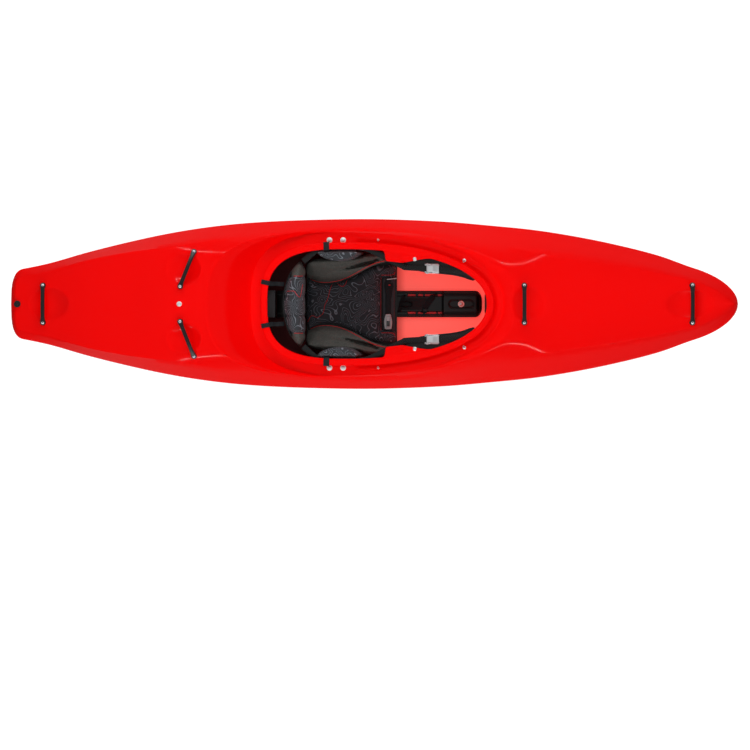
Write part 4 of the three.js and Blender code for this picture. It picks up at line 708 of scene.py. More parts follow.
def make_floor(scene):
    """A pale floor that keeps the boat's shadow and shows white, by a glow on the shown rays alone."""
    mesh = bpy.data.meshes.new("floor")
    corners = rectangle(-FLOOR_REACH, FLOOR_REACH, -FLOOR_REACH, FLOOR_REACH)
    mesh.from_pydata([(x, y, 0) for x, y in corners], [], [(0, 1, 2, 3)])
    tree, shader = new_material("floor_white", (*FLOOR_TONE, 1), 0.9)
    glow = add_node(tree, "Emission", {"Color": (1, 1, 1, 1), "Strength": FLOOR_GLOW})
    lit = add_node(tree, "AddShader", {0: shader.outputs[0], 1: glow.outputs[0]})
    blend = add_node(tree, "MixShader", {0: shown_rays(tree), 1: shader.outputs[0], 2: lit.outputs[0]})
    out = next(n for n in tree.nodes if n.type == "OUTPUT_MATERIAL")
    tree.links.new(blend.outputs[0], out.inputs[0])
    mesh.materials.append(bpy.data.materials["floor_white"])
    floor = bpy.data.objects.new("floor", mesh)
    floor.location.z = CAD_BOX[0][2] - FLOOR_GAP
    scene.collection.objects.link(floor)


def make_stage(look):
    """White floor, even sky, soft lamps and the camera straight above."""
    scene = bpy.context.scene
    scene.view_settings.view_transform = "Standard"
    make_floor(scene)
    scene.world = bpy.data.worlds.new("studio")
    scene.world.use_nodes = True
    tree = scene.world.node_tree
    inputs = {"Value": shown_rays(tree), "To Min": look.sky_strength, "To Max": 1.0}
    strength = add_node(tree, "MapRange", inputs)
    tree.nodes["Background"].inputs[0].default_value = (1, 1, 1, 1)
    tree.links.new(strength.outputs[0], tree.nodes["Background"].inputs[1])
    lamps = [("key", KEY_PLACE, KEY_LEAN, KEY_SIZE, look.key_power, False)]
    for side, word in SIDES:
        place = (STRIP_PLACE[0], side * STRIP_PLACE[1], STRIP_PLACE[2])
        lamps.append((word + " strip", place, -side * STRIP_LEAN, STRIP_SIZE, look.strip_power, True))
    for name, place, lean, reach, power, mirrored in lamps:
        lamp = bpy.data.lights.new(name, "AREA")
        lamp.shape = "RECTANGLE"
        lamp.size, lamp.size_y = reach
        lamp.energy = power
        holder = bpy.data.objects.new(name, lamp)
        holder.location = place
        holder.rotation_euler.x = lean
        holder.visible_glossy = mirrored
        scene.collection.objects.link(holder)
    lens = bpy.data.cameras.new("camera")
    lens.lens = CAMERA_LENS
    lens.shift_y = CAMERA_SHIFT
    lens.clip_end = CAMERA_SIGHT
    scene.camera = bpy.data.objects.new("camera", lens)
    scene.camera.location = (CAMERA_X, 0, look.camera_height)
    scene.collection.objects.link(scene.camera)


# Shell: stations from stern to bow, closer together towards the ends
def shell_shapes():
    """(shape, material) pairs of the outer and inner skins, and the edges of the ring round the cockpit."""
    stern = mix(-HALF_LENGTH, DECK_REAR_STATION, np.linspace(0, 1, STERN_STATIONS) ** END_CROWDING)
    middle = np.linspace(DECK_REAR_STATION, DECK_FRONT_STATION, RING_STATIONS)
    bow = mix(DECK_FRONT_STATION, HALF_LENGTH, 1 - (1 - np.linspace(0, 1, BOW_STATIONS)) ** END_CROWDING)
    rings, shapes = [], []
    for inset, samples, runs in SKINS:
        rear, front = stern, bow
        if inset:
            end = HALF_LENGTH - END_WALL
            rear = np.concatenate([[-end], stern[stern > -end]])
            front = np.concatenate([bow[bow < end], [end]])
            caps = [(-end, 0, STERN_TIP_HEIGHT), (end, 0, BOW_TIP_HEIGHT)]
        hull = hull_grid(np.concatenate([rear, middle[1:-1], front]), samples, runs, inset)
        decks = [deck_grid(rear, DECK_COLUMNS, inset), deck_grid(front, DECK_COLUMNS, inset)]
        rear_edge, front_edge = decks[0][-1], decks[1][0]
        if inset:
            hull = np.concatenate([[0 * hull[0] + caps[0]], hull, [0 * hull[0] + caps[1]]])
            decks[0] = np.concatenate([[0 * decks[0][0] + caps[0]], decks[0]])
            decks[1] = np.concatenate([decks[1], [0 * decks[1][0] + caps[1]]])
        edge = at_stations(middle, side_section(middle, samples, runs, inset)[:, -1:])[:, 0]
        across = (edge[::-1], rear_edge[1:-1], edge * (1, -1, 1), front_edge[-2:0:-1], edge[-1:])
        rings.append(np.concatenate(across))
        material = "inner_polyethylene" if inset else "red_polyethylene"
        shapes += [(grid(part, not inset), material) for part in (hull, *decks)]
    return shapes, rings


def cockpit_shapes(rings):
    """The ring round the cockpit: red above, and below it the inside skin's material, with its painted shade
    and painted glow.
    """
    rows = cockpit_rows(*rings)
    under = len(rows) - INSIDE_ROWS
    above, below = grid(rows[: under + 1], True), grid(rows[under:], True)
    return [(above, "red_polyethylene"), (below, "inner_polyethylene")]


def make_shell():
    """Hull, decks and cockpit rim as one moulding."""
    shapes, rings = shell_shapes()
    ends = ("_hull", "_deck")
    nodes = [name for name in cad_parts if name.endswith(ends) or name.startswith("cockpit_deck")]
    shapes += cockpit_shapes(rings)
    return make_piece("kayak_shell", shapes, "hull", "shell_polyethylene", nodes, 50)


# Bolts, handles and drain plug
BLACK, STEEL, WASHER_PALE = "moulded_nylon", "polished_stainless", "nylon_washer"
UPRIGHT = (0, 0, 1)
TILTED_UP = (-math.sin(RIM_TILT), 0, math.cos(RIM_TILT))
RIM_BOLT_OUT = 9
RIM_BOLT_Y = RIM_SIDE + RIM_BOLT_OUT
HIP_BOLT_X = (-180, -129)
FLANGE_BOLT_X = 2
FRONT_BOLT = (322, 160)
GRIP_TOP_DROP = 5
REAR_BOLT_X = -712
BOLT_HEAD, BOLT_SHANK, BOLT_SOCKET = 6.5, 2.9, 2.3
HEAD_EDGE, HEAD_CROWN, WASHER_THICKNESS = 1.2, 2.6, 1.6
RIM_WASHER, REAR_WASHER, HIP_WASHER = 8.5, 9.5, 10.5
HANDLE_WIDTH, HANDLE_THICKNESS, HANDLE_ARCH, HANDLE_CLEARANCE = 16, 9, 13, 6
HANDLE_OVERHANG = 8
HANDLE_SCREW, HANDLE_SCREW_HEIGHT = 6.2, 15.4
PLUG_FROM_STERN = 25
PLUG_RADIUS, PLUG_SHANK, PLUG_DEPTH = 12, 7, 16
PLUG_GRIPS = 12
CROSS_REACH, CROSS_HEIGHT = 6, 8.9

# Turned profiles: (radius, height)
HANDLE_FOOT = ((0, -1), (11, -1), (10, 3), (8, 8), (0, 8))
SCREW_SOCKET = ((2.2, 2.5), (1.9, 0.6), (0, 0.6))
PLUG_GRIP = ((0, 3.2), (1.3, 3.2), (1.3, 7.4), (0, 7.6))
PLUG_SEAL = ((7.4, 0.3), (12, 0.3), (12.4, 1.2), (12, 2.3), (7.4, 2.3), (7.4, 0.3))
HULL_PLUG = ((0, -16), (9.5, -16), (10, 0.2), (9, 1.0), (7, 1.0), (7, -2), (0, -2))
RIVET = ((0, 0), (3.6, 0), (3.6, 1), (2.8, 1.8), (0, 1.8))


def bolt(foot, axis=UPRIGHT, head=BOLT_HEAD, washer=HIP_WASHER, depth=12.0):
    """A domed bolt with a socket in its head, on a pale washer: (shape, material) pairs."""
    rise = WASHER_THICKNESS if washer else 0
    crown = rise + HEAD_EDGE
    dome = [(0, -depth), (BOLT_SHANK, -depth), (BOLT_SHANK, rise), (head, rise), (head, crown)]
    for a in np.linspace(0.3, 1.15, 4):
        dome.append((head * math.cos(a), crown + HEAD_CROWN * math.sin(a)))
    dome += [(2.6, rise + 3.7), (BOLT_SOCKET, rise + 1.6), (0, rise + 1.6)]
    made = [(lathe(dome, foot, axis, 24), STEEL)]
    if washer:
        disc = [(3, 0.1), (washer, 0.1), (washer, 1.2), (washer - 0.6, 1.7), (3, 1.7), (3, 0.1)]
        made.append((lathe(disc, foot, axis, 32), WASHER_PALE))
    return made


def on_deck(x, y=0.0):
    """The point of the deck over x, y."""
    return np.array((x, y, deck_height(np.array([x]), np.array([y]))[0]), float)


def handle_shapes(x, y, turn):
    """A grab handle: a bar whose height follows a half sine, a foot and a screw at each end."""
    length = np.array((math.sin(turn), math.cos(turn), 0))
    across = np.array((math.cos(turn), -math.sin(turn), 0))
    ends = [on_deck(*((x, y, 0.0) + length * s * HANDLE_SPAN / 2)[:2]) for s in (-1, 1)]
    t = np.linspace(0, 1, 41)
    reach = mix(-HANDLE_OVERHANG, HANDLE_SPAN + HANDLE_OVERHANG, t) / HANDLE_SPAN
    path = mix(ends[0], ends[1], reach[:, None])
    path[:, 2] += HANDLE_CLEARANCE + HANDLE_THICKNESS / 2 + HANDLE_ARCH * np.sin(math.pi * t)
    side = np.abs(2 * t - 1)
    to_foot = ease((side - 0.6) / 0.3)
    width = np.sqrt(np.clip(1 - np.clip((side - 0.9) / 0.1, 0, 1) ** 2.4, 0.02, 1)) * mix(0.9, 1.18, to_foot)
    height = mix(1.12, 0.9, to_foot) * np.clip(width * 2, 0.4, 1)
    section = rounded_rect(HANDLE_WIDTH, HANDLE_THICKNESS, HANDLE_THICKNESS * 0.4)
    made = [(sweep(path, section, across, np.stack([width, height], -1)), BLACK)]
    for end in ends:
        made.append((lathe(HANDLE_FOOT, end, sides=28), BLACK))
        dome = [(HANDLE_SCREW * math.cos(a), HEAD_CROWN * math.sin(a)) for a in np.linspace(0, 1.2, 5)]
        screw = [(HANDLE_SCREW, -3), *dome, *SCREW_SOCKET]
        made.append((lathe(screw, end + (0, 0, HANDLE_SCREW_HEIGHT), sides=24), STEEL))
    return made


def make_handles():
    """The five grab handles."""
    for name, x, y, turn, *_ in HANDLES:
        make_piece(name + "_bar", handle_shapes(x, y, turn), "hull", "black_plastic", (name,))


def make_bolts():
    """Deck and rim bolts, each with its pale washer."""
    for side, word in SIDES:
        for label, (x, y), drop, washer, body in (
            ("flange", (FLANGE_BOLT_X, RIM_BOLT_Y), RIM_RISE, 0, "hull"),
            ("front", FRONT_BOLT, RIM_RISE, RIM_WASHER, "hull"),
            ("slot", SLOT_BOLT, GRIP_TOP_DROP, RIM_WASHER, f"brace_{word}"),
        ):
            shapes = bolt(in_rim((x, side * y, -drop)), TILTED_UP, washer=washer)
            node = f"{label}_bolt_{word}"
            make_piece(f"{label}_bolt_head_{word}", shapes, body, "stainless_steel", (node,))
    shapes = bolt(on_deck(REAR_BOLT_X), washer=REAR_WASHER)
    make_piece("rear_deck_bolt_head", shapes, "hull", "stainless_steel", ("rear_deck_bolt",))


def make_drain_plug():
    """Drain plug with its finger grips, and the seal under it."""
    foot = on_deck(PLUG_FROM_STERN - HALF_LENGTH)
    edge, top = PLUG_RADIUS - 0.6, 8.2
    cap = [(0, -PLUG_DEPTH), (PLUG_SHANK, -PLUG_DEPTH), (PLUG_SHANK, 2.6), (edge, 2.6), (PLUG_RADIUS, 3.4)]
    cap += [(PLUG_RADIUS, 7), (PLUG_RADIUS - 1, 8), (8, top), (0, top)]
    shapes = [lathe(cap, foot)]
    for a in np.arange(0, 2 * math.pi, 2 * math.pi / PLUG_GRIPS):
        place = foot + (edge * math.cos(a), edge * math.sin(a), 0)
        shapes.append(lathe(PLUG_GRIP, place, sides=10))
    for a in (0, math.pi / 2):
        reach = np.array((math.cos(a), math.sin(a), 0)) * CROSS_REACH
        path = np.array([foot - reach, foot, foot + reach]) + (0, 0, CROSS_HEIGHT)
        shapes.append(sweep(path, rounded_rect(2.6, 2.4, 0.8), (-math.sin(a), math.cos(a), 0)))
    shapes = [(shape, BLACK) for shape in shapes]
    make_piece("drain_plug_cap", shapes, "drain_plug", "black_plastic", ("drain_plug",))
    shapes = [(lathe(PLUG_SEAL, foot), "nitrile_rubber")]
    make_piece("drain_plug_gasket", shapes, "drain_seal", "black_rubber", ("drain_plug_seal",))


# Centre tray
TRAY_REAR, TRAY_FRONT, TRAY_TAIL, NOSE_FRONT = -262, 261, 100, 408
TRAY_HALF_WIDTH, NOSE_ROUND = 50, 30
TRAY_FOOT, TRAY_DECK, TRAY_TOP = 8.4, 14.4, 42.4
NOSE_BOLT_X, NOSE_OVAL_REACH = 329, 32
NOSE_OVAL_RADIUS, NOSE_OVAL_WALL = 11, 17
RIB_FROM_SIDE, SLOT_ROW, SLOT_HALF_WIDTH = 21, 33, 4
SIDE_RAIL_WIDTH, SIDE_RAIL_SLOPE, SIDE_RAIL_ROUND, SIDE_RAIL_DROP = 6.5, 3.5, 4, 5
RIB_RISE, RIB_HALF_WIDTH, RIB_SLOPE = 1.5, 1, 1.2
NOSE_RIB_RISE, NOSE_RIB_HALF_WIDTH, NOSE_RIB_SLOPE = 3.2, 1.5, 2
RECESS_LIP, RECESS_DEPTH, RECESS_SLOPE = 1, 4, 3
FLOOR_LIFT = 2.4  # of the webbing, off the tray's floor
NOSE_DROP, NOSE_DROP_REACH = 26, 26
TAIL_FOOT, TAIL_RAIL_Y, TAIL_RAIL_HALF = 15, 36, 3
TRAY_SLOTS = ((130, 158), (194, 236), (168, 186), (242, 256))
WEBBING = "nylon_webbing"
TRAY_STRAP = ((232, 36, 6), (226, 30, 1), (206, 4, 0), (190, -22, 0), (184, -32, 5))
TRAY_SECOND_STRAP = ((118, 34, 4), (112, 26, 1), (104, 4, 0), (100, -16, 0), (98, -30, 3))
TRAY_LOOP = ((100, 6, 1), (122, 10, 7), (142, 4, 4), (140, -8, 3), (118, -10, 6), (98, -4, 2))
TRAY_PAD = ((104, -22), (196, -22), (210, -6), (210, 20), (196, 24), (104, 24))


def tray_shapes():
    """The tray as a height field: rounded side rails, a slotted floor and a raised nose with its recess."""
    x = np.linspace(TRAY_REAR, NOSE_FRONT, 336)
    nose = np.clip((x - NOSE_FRONT + NOSE_ROUND) / (NOSE_ROUND + 2), 0, 1)
    half = TRAY_HALF_WIDTH * np.sqrt(np.maximum(1 - nose ** 2.5, 0.1))
    y = half[:, None] * np.linspace(-1, 1, 61)
    x2 = np.broadcast_to(x[:, None], y.shape)
    to_side = half[:, None] - np.abs(y)
    rail = TRAY_DECK + (TRAY_TOP - TRAY_DECK) * (1 - ease((to_side - SIDE_RAIL_WIDTH) / SIDE_RAIL_SLOPE))
    rail = rail - SIDE_RAIL_DROP * np.clip(1 - to_side / SIDE_RAIL_ROUND, 0, 1) ** 2
    off_rib = np.abs(to_side - RIB_FROM_SIDE) - RIB_HALF_WIDTH
    rib = TRAY_DECK + RIB_RISE * (1 - ease(off_rib / RIB_SLOPE))
    channel = np.maximum(rail, rib)
    deck = TRAY_TOP - 3 * (1 - ease((to_side - 3) / 4)) - 3 * ease((to_side - 9) / 3)
    off_rib = np.abs(np.abs(y) - SLOT_ROW) - NOSE_RIB_HALF_WIDTH
    deck = deck + NOSE_RIB_RISE * (1 - ease(off_rib / NOSE_RIB_SLOPE))
    nearest = np.clip(x2, NOSE_BOLT_X - NOSE_OVAL_REACH, NOSE_BOLT_X + NOSE_OVAL_REACH)
    gap = np.hypot(x2 - nearest, y)
    recess = TRAY_TOP - RECESS_LIP - RECESS_DEPTH * (1 - ease((gap - NOSE_OVAL_RADIUS) / RECESS_SLOPE))
    deck = np.where(gap < NOSE_OVAL_WALL, recess, deck)
    z = mix(channel, deck, ease((x2 - TRAY_FRONT + 6) / 10))
    for start, end in TRAY_SLOTS:
        off_length = np.abs(x2 - (start + end) / 2) - (end - start) / 2
        off = np.maximum(off_length, np.abs(np.abs(y) - SLOT_ROW) - SLOT_HALF_WIDTH)
        z = np.where((off < 0.5) & (x2 < TRAY_FRONT), TRAY_FOOT + 0.4, z)
    z = z - NOSE_DROP * ease((x2 - (NOSE_FRONT - NOSE_DROP_REACH)) / NOSE_DROP_REACH) ** 2
    top = np.stack([x2, y, z], -1)
    ring = np.concatenate([top[0], top[1:-1, -1], top[-1, ::-1], top[-2:0:-1, 0], top[:1, 0]])
    foot, floor = ring.copy(), top.copy()
    foot[:, 2] = floor[..., 2] = TRAY_FOOT
    made = [(grid(top, True), BLACK), (grid([ring, foot]), BLACK), (grid(floor), BLACK)]
    for start, end in TRAY_SLOTS:
        for s in (-1, 1):
            sides = (s * SLOT_ROW - SLOT_HALF_WIDTH, s * SLOT_ROW + SLOT_HALF_WIDTH)
            face = [[(at, across, TRAY_FOOT + 0.8) for across in sides] for at in (start, end)]
            made.append((grid(face, True), "polyethylene_floor"))
    tail = TRAY_REAR - TRAY_TAIL
    bed = rectangle(tail, TRAY_REAR, -TRAY_HALF_WIDTH, TRAY_HALF_WIDTH)
    made.append((slab(bed, TAIL_FOOT, TRAY_TOP, 2), BLACK))
    for s in (-1, 1):
        rail = rectangle(tail, TRAY_REAR, s * TAIL_RAIL_Y - TAIL_RAIL_HALF, s * TAIL_RAIL_Y + TAIL_RAIL_HALF)
        made.append((slab(rail, TRAY_TOP - 1, TRAY_TOP + 4, 1.5), BLACK))
    return made


def ribbon(points, width, thickness, across, count=60):
    """A webbing strap along a smooth path."""
    section = rounded_rect(width, thickness, thickness * 0.45, 1)
    return sweep(smooth_path(points, count), section, across), WEBBING


def make_tray():
    """The seat's tray with its nose, the crossed webbing in it and the bolt through its nose."""
    make_piece("tray_channel", tray_shapes(), "hull", "black_plastic", ("centre_tray",), 35)
    floor = TRAY_DECK + FLOOR_LIFT
    crossed = (0.8, 0.6, 0)
    shapes = []
    for route, width, thickness, across in (
        (TRAY_STRAP, 22, 2, crossed),
        (TRAY_SECOND_STRAP, 14, 2, crossed),
        (TRAY_LOOP, 12, 1.8, (0.2, 0.1, 1)),
    ):
        shapes.append(ribbon(np.array(route) + (0, 0, floor), width, thickness, across))
    shapes.append((slab(np.array(TRAY_PAD, float), TRAY_DECK, TRAY_DECK + 1.6, 0.6), "polyethylene_foam"))
    shapes.append((slab(rectangle(186, 202, -34, -18), floor + 1, floor + 7, 2), BLACK))
    make_piece("tray_webbing", shapes, "hull", "black_webbing")
    shapes = bolt((NOSE_BOLT_X, 0, TRAY_TOP - 4.6), head=7, washer=12)
    make_piece("tray_bolt_head", shapes, "hull", "stainless_steel", ("tray_bolt",))


# Soft goods
PAN_TOP, SEAT_TOP = 58.7, 98.7
CONTOUR, MESH_CLOTH = "printed_polyester", "polyester_spacer_mesh"
FOAM, RED = "polyethylene_foam", "polyester_thread"
FABRIC = "charcoal_fabric"
CUSHION_SIDE = ((-250, 97), (-206, 80), (-151, 80), (-96, 97), (-11, 142), (44, 150))
CUSHION_FRONT = ((62, 152), (78, 150), (86, 140), (86, 112), (82, 104), (74, 101), (34, 101))
CUSHION_REAR = ((-250, 97), (-256, 60), (-258, 0), (-256, -60), (-250, -97))
CUSHION_EDGE = 12
CUSHION_CROWN = (7, 26, 3.5)  # rise, reach in from the edge, and how much of it is taken off
DISH_X, DISH_DEPTH, DISH_LENGTH, DISH_BREADTH = -120, 6, 90, 60
CHANNEL_Y, CHANNEL_DEPTH, CHANNEL_SPREAD, CHANNEL_FRONT = 52, 2.6, 30, 30
HIP_INNER = ((-248, 100), (-206, 83), (-151, 83), (-96, 100), (-11, 145), (44, 162), (86, 169))
HIP_OUTER = (
    (88, 178), (84, 187), (60, 188), (-20, 180), (-60, 168),
    (-139, 164), (-210, 164), (-244, 158), (-250, 140),
)
HIP_EDGE, HIP_INNER_HEIGHT, HIP_OUTER_HEIGHT, HIP_FRONT_SHARE = 9, 46, 152, 0.46
HIP_CROWN = (7, 16, 4)
HIP_RISE_FROM, HIP_RISE_WIDTH, HIP_FALL_FROM, HIP_FALL_LENGTH = 86, 84, -71, 157
SEAT_WAVE = (
    (-151, 79), (-160, 62), (-166, 40), (-172, 18), (-182, -4),
    (-187, -30), (-196, -42), (-212, -50), (-232, -44), (-246, -66),
)
SEAT_MARK = ((-137, 84), (-132, 74), (-120, 66), (-108, 70), (-101, 84), (-96, 98))
SEAT_HEM = ((28, 98), (27, 60), (27, 0), (27, -60), (28, -98))
SEAT_CORNER = ((30, 108), (60, 108), (74, 110), (80, 118))
PIPING, HEM_PIPING, THREAD = 1.5, 1.2, 1.0
CLOTH_FRAMES = 20


def edge_distance(outline, x, y):
    """Distance in mm of points from a closed outline."""
    a, b = np.asarray(outline, float), np.roll(np.asarray(outline, float), -1, 0)
    p = np.stack([x, y], -1)[:, None]
    run = b - a
    t = np.clip(((p - a) * run).sum(-1) / ((run**2).sum(-1) + 1e-9), 0, 1)
    return np.linalg.norm(p - (a + run * t[..., None]), axis=-1).min(1)


def applied(piece):
    """The piece's mesh with its modifiers worked in."""
    bpy.context.view_layer.update()
    done = bpy.data.meshes.new_from_object(piece.evaluated_get(bpy.context.evaluated_depsgraph_get()))
    old = piece.data
    piece.modifiers.clear()
    piece.data = done
    bpy.data.meshes.remove(old)


def read_points(piece):
    """The piece's points in mm."""
    points = np.empty(len(piece.data.vertices) * 3)
    piece.data.vertices.foreach_get("co", points)
    return points.reshape(-1, 3) / MM


def write_points(piece, points):
    """Puts points in mm back into the piece."""
    piece.data.vertices.foreach_set("co", (points * MM).ravel())
    piece.data.update()


def remeshed(piece, voxel=4.5):
    """Even quads over the whole piece."""
    remesh = piece.modifiers.new("remesh", "REMESH")
    remesh.mode = "VOXEL"
    remesh.voxel_size = voxel * MM
    applied(piece)


def plump(piece, pressure=4.0, cap=7.0):
    """Blows the cover up a little as cloth; no point moves more than the cap, in mm."""
    start = read_points(piece)
    cloth = piece.modifiers.new("cloth", "CLOTH")
    cloth.settings.use_pressure = True
    cloth.settings.uniform_pressure_force = pressure
    cloth.settings.tension_stiffness = 12
    cloth.settings.effector_weights.gravity = 0
    cloth.point_cache.frame_end = CLOTH_FRAMES
    for frame_number in range(1, CLOTH_FRAMES + 1):
        bpy.context.scene.frame_set(frame_number)
    applied(piece)
    bpy.context.scene.frame_set(1)
    move = read_points(piece) - start
    reach = np.linalg.norm(move, axis=1, keepdims=True)
    write_points(piece, start + move * np.minimum(1, cap / np.maximum(reach, 1e-6)))


def softened(piece, rounds=2):
    """Takes the steps of the remesh out, then divides every face once."""
    work = bmesh.new()
    work.from_mesh(piece.data)
    for _ in range(rounds):
        axes = {"use_axis_x": True, "use_axis_y": True, "use_axis_z": True}
        bmesh.ops.smooth_vert(work, verts=work.verts, factor=0.5, **axes)
    work.to_mesh(piece.data)
    work.free()
    divide = piece.modifiers.new("divide", "SUBSURF")
    divide.levels = divide.render_levels = 1
    applied(piece)
    piece.data.shade_smooth()


def stuffed(name, shape, materials, body, nodes, shaping=None, voxel=4.5, cap=6.0, painting=None,
            slot=FABRIC):
    """A padded piece: remeshed, shaped by a function of its points, blown up, smoothed and painted."""
    piece = make_piece(name, [(shape, materials[0])], body, slot, nodes)
    for material in materials[1:]:
        piece.data.materials.append(bpy.data.materials[material])
    remeshed(piece, voxel)
    if shaping:
        write_points(piece, shaping(read_points(piece)))
    plump(piece, cap=cap)
    softened(piece)
    if painting:
        centres = np.empty(len(piece.data.polygons) * 3)
        piece.data.polygons.foreach_get("center", centres)
        numbers = painting(centres.reshape(-1, 3) / MM).astype(np.int32)
        piece.data.polygons.foreach_set("material_index", numbers)
    return piece


def laid_on(pieces, xy, lift=0.4):
    """Points of a path of (x, y) laid on top of the pieces."""
    trees = [BVHTree.FromObject(piece, bpy.context.evaluated_depsgraph_get()) for piece in pieces]
    points = []
    for x, y in xy:
        hits = [tree.ray_cast(Vector((x * MM, y * MM, 0.6)), Vector((0, 0, -1)))[0] for tree in trees]
        heights = [hit.z / MM for hit in hits if hit]
        points.append((x, y, max(heights) + lift if heights else np.nan))
    points = np.array(points)
    return points[~np.isnan(points[:, 2])]


def piping(name, pieces, lines, radius, body, count=90):
    """Beads of piping or thread laid along lines of (x, y) on top of the pieces."""
    shapes = []
    section = rounded_rect(2 * radius, 2 * radius, radius * 0.98, 2)
    for line in lines:
        path = laid_on(pieces, smooth_path(np.asarray(line, float), count), radius * 0.4)
        if len(path) < 8:
            raise ValueError(f"{name}: a line misses what it lies on")
        height = path[:, 2].copy()
        for _ in range(3):
            height[1:-1] = (height[:-2] + 2 * height[1:-1] + height[2:]) / 4
        path[:, 2] = height
        shapes.append((sweep(path, section, (0.3, 0.9, 0.3)), RED))
    return make_piece(name, shapes, body, FABRIC)


def puffed(inside, height, reach, less):
    """A pad's crown: it rises by height (1 - exp(-inside / reach)), less a part of it."""
    return height * (1 - np.exp(-inside / reach)) - less


def cushion_outline():
    """Seat cushion seen from above, with the bay for the leg lifter cut out of its front."""
    port = np.concatenate([smooth_path(CUSHION_SIDE, 40)[:, :2], CUSHION_FRONT])
    rear = smooth_path(CUSHION_REAR, 21)[1:-1]
    return np.concatenate([port, port[::-1] * (1, -1), rear[::-1]])


def make_seat():
    """Seat cushion, hip pads and their piping."""
    outline = cushion_outline()

    def shape_cushion(p):
        x, y, z = p.T
        crown = puffed(edge_distance(outline, x, y), *CUSHION_CROWN)
        dish = -DISH_DEPTH * np.exp(-((x - DISH_X) ** 2 / DISH_LENGTH**2 + y**2 / DISH_BREADTH**2))
        channel = -CHANNEL_DEPTH * np.exp(-((np.abs(y) - CHANNEL_Y) ** 2) / CHANNEL_SPREAD)
        channel = channel * (x < CHANNEL_FRONT)
        high = z > (PAN_TOP + SEAT_TOP) / 2
        return np.stack([x, y, z + high * (crown + dish + channel)], -1)

    def top(x, y):
        outward = ease((np.abs(y) - HIP_RISE_FROM) / HIP_RISE_WIDTH)
        forward = ease((x - HIP_FALL_FROM) / HIP_FALL_LENGTH)
        return PAN_TOP + mix(HIP_INNER_HEIGHT, HIP_OUTER_HEIGHT, outward) * mix(1, HIP_FRONT_SHARE, forward)

    shape = slab(outline, PAN_TOP + 0.5, SEAT_TOP + 1, CUSHION_EDGE)
    seat = stuffed("seat_cushion_cover", shape, [CONTOUR], "seat", ("seat_cushion",), shape_cushion)
    hips = []
    rim_line = np.concatenate([smooth_path(HIP_INNER, 50), smooth_path(HIP_OUTER, 50)])
    for side, word in SIDES:

        def shape_hip(p):
            x, y, z = p.T
            rise = puffed(edge_distance(rim_line * (1, side), x, y), *HIP_CROWN)
            share = np.clip((z - PAN_TOP) / (top(x, y) - PAN_TOP), 0, 1)
            return np.stack([x, y, z + ease((share - 0.5) * 2) * rise], -1)

        shape = sided(slab(rim_line, PAN_TOP + 0.5, top, HIP_EDGE), side)
        nodes = (f"hip_pad_{word}",)
        name = f"hip_pad_cover_{word}"
        hips.append(stuffed(name, shape, [MESH_CLOTH], "seat", nodes, shape_hip, slot="stretch_mesh"))
    lines = [np.array(HIP_INNER) * (1, s) for s in (1, -1)]
    piping("hip_pad_piping", hips + [seat], lines, PIPING, "seat")
    piping("seat_stitching", [seat], [SEAT_WAVE, SEAT_MARK], THREAD, "seat")
    lines = [SEAT_HEM] + [np.array(SEAT_CORNER) * (1, s) for s in (1, -1)]
    piping("seat_front_piping", [seat], lines, HEM_PIPING, "seat")


# Leg lifter
LIFTER_PANEL = ((35, -92), (39, -98), (76, -98), (80, -92), (80, 92), (76, 98), (39, 98), (35, 92))
LIFTER_GUSSET = ((41, 82), (73, 80), (75, 66), (64, 8), (61, -34), (50, -34), (48, 8), (40, 66))
LIFTER_HEM = rectangle(40, 75, -93, 93)
LIFTER_TAB = rectangle(56, 63, 68, 73)
LIFTER_FOOT, LIFTER_TOP = 80.7, 96.3
HEM_LEVELS, GUSSET_LEVELS, TAB_LEVELS = (96, 96.8), (96.4, 97.2), (98.6, 100.2)
LIFTER_STRAP = (
    (55, 92, 97.6), (55, 60, 98.2), (54.5, 20, 98.4), (54.5, -36, 98.6), (54.5, -92, 98.6), (54.5, -96, 97.2),
)
LIFTER_FOLD = ((54.5, 60, 98.9), (54.5, 40, 99.8), (54.5, -8, 99.8), (54.5, -34, 99.2))
LIFTER_ROD = ((50, 92, 100.4), (68, 94, 100.6), (86, 96, 100))
BUCKLE_OUTLINE = (
    (42, -88), (46, -94), (63, -94), (67, -88), (69, -66),
    (65, -44), (61, -39), (48, -39), (44, -44), (40, -66),
)
BUCKLE_HOLE = rectangle(46.4, 62.6, -87.6, -45.4)
BUCKLE_LEVER = rectangle(47.2, 61.8, -86.8, -46.2)
BUCKLE_WINDOW = rectangle(48.8, 60.2, -84, -63)
BUCKLE_FOOT, BUCKLE_RIM_TOP = 99.3, 106


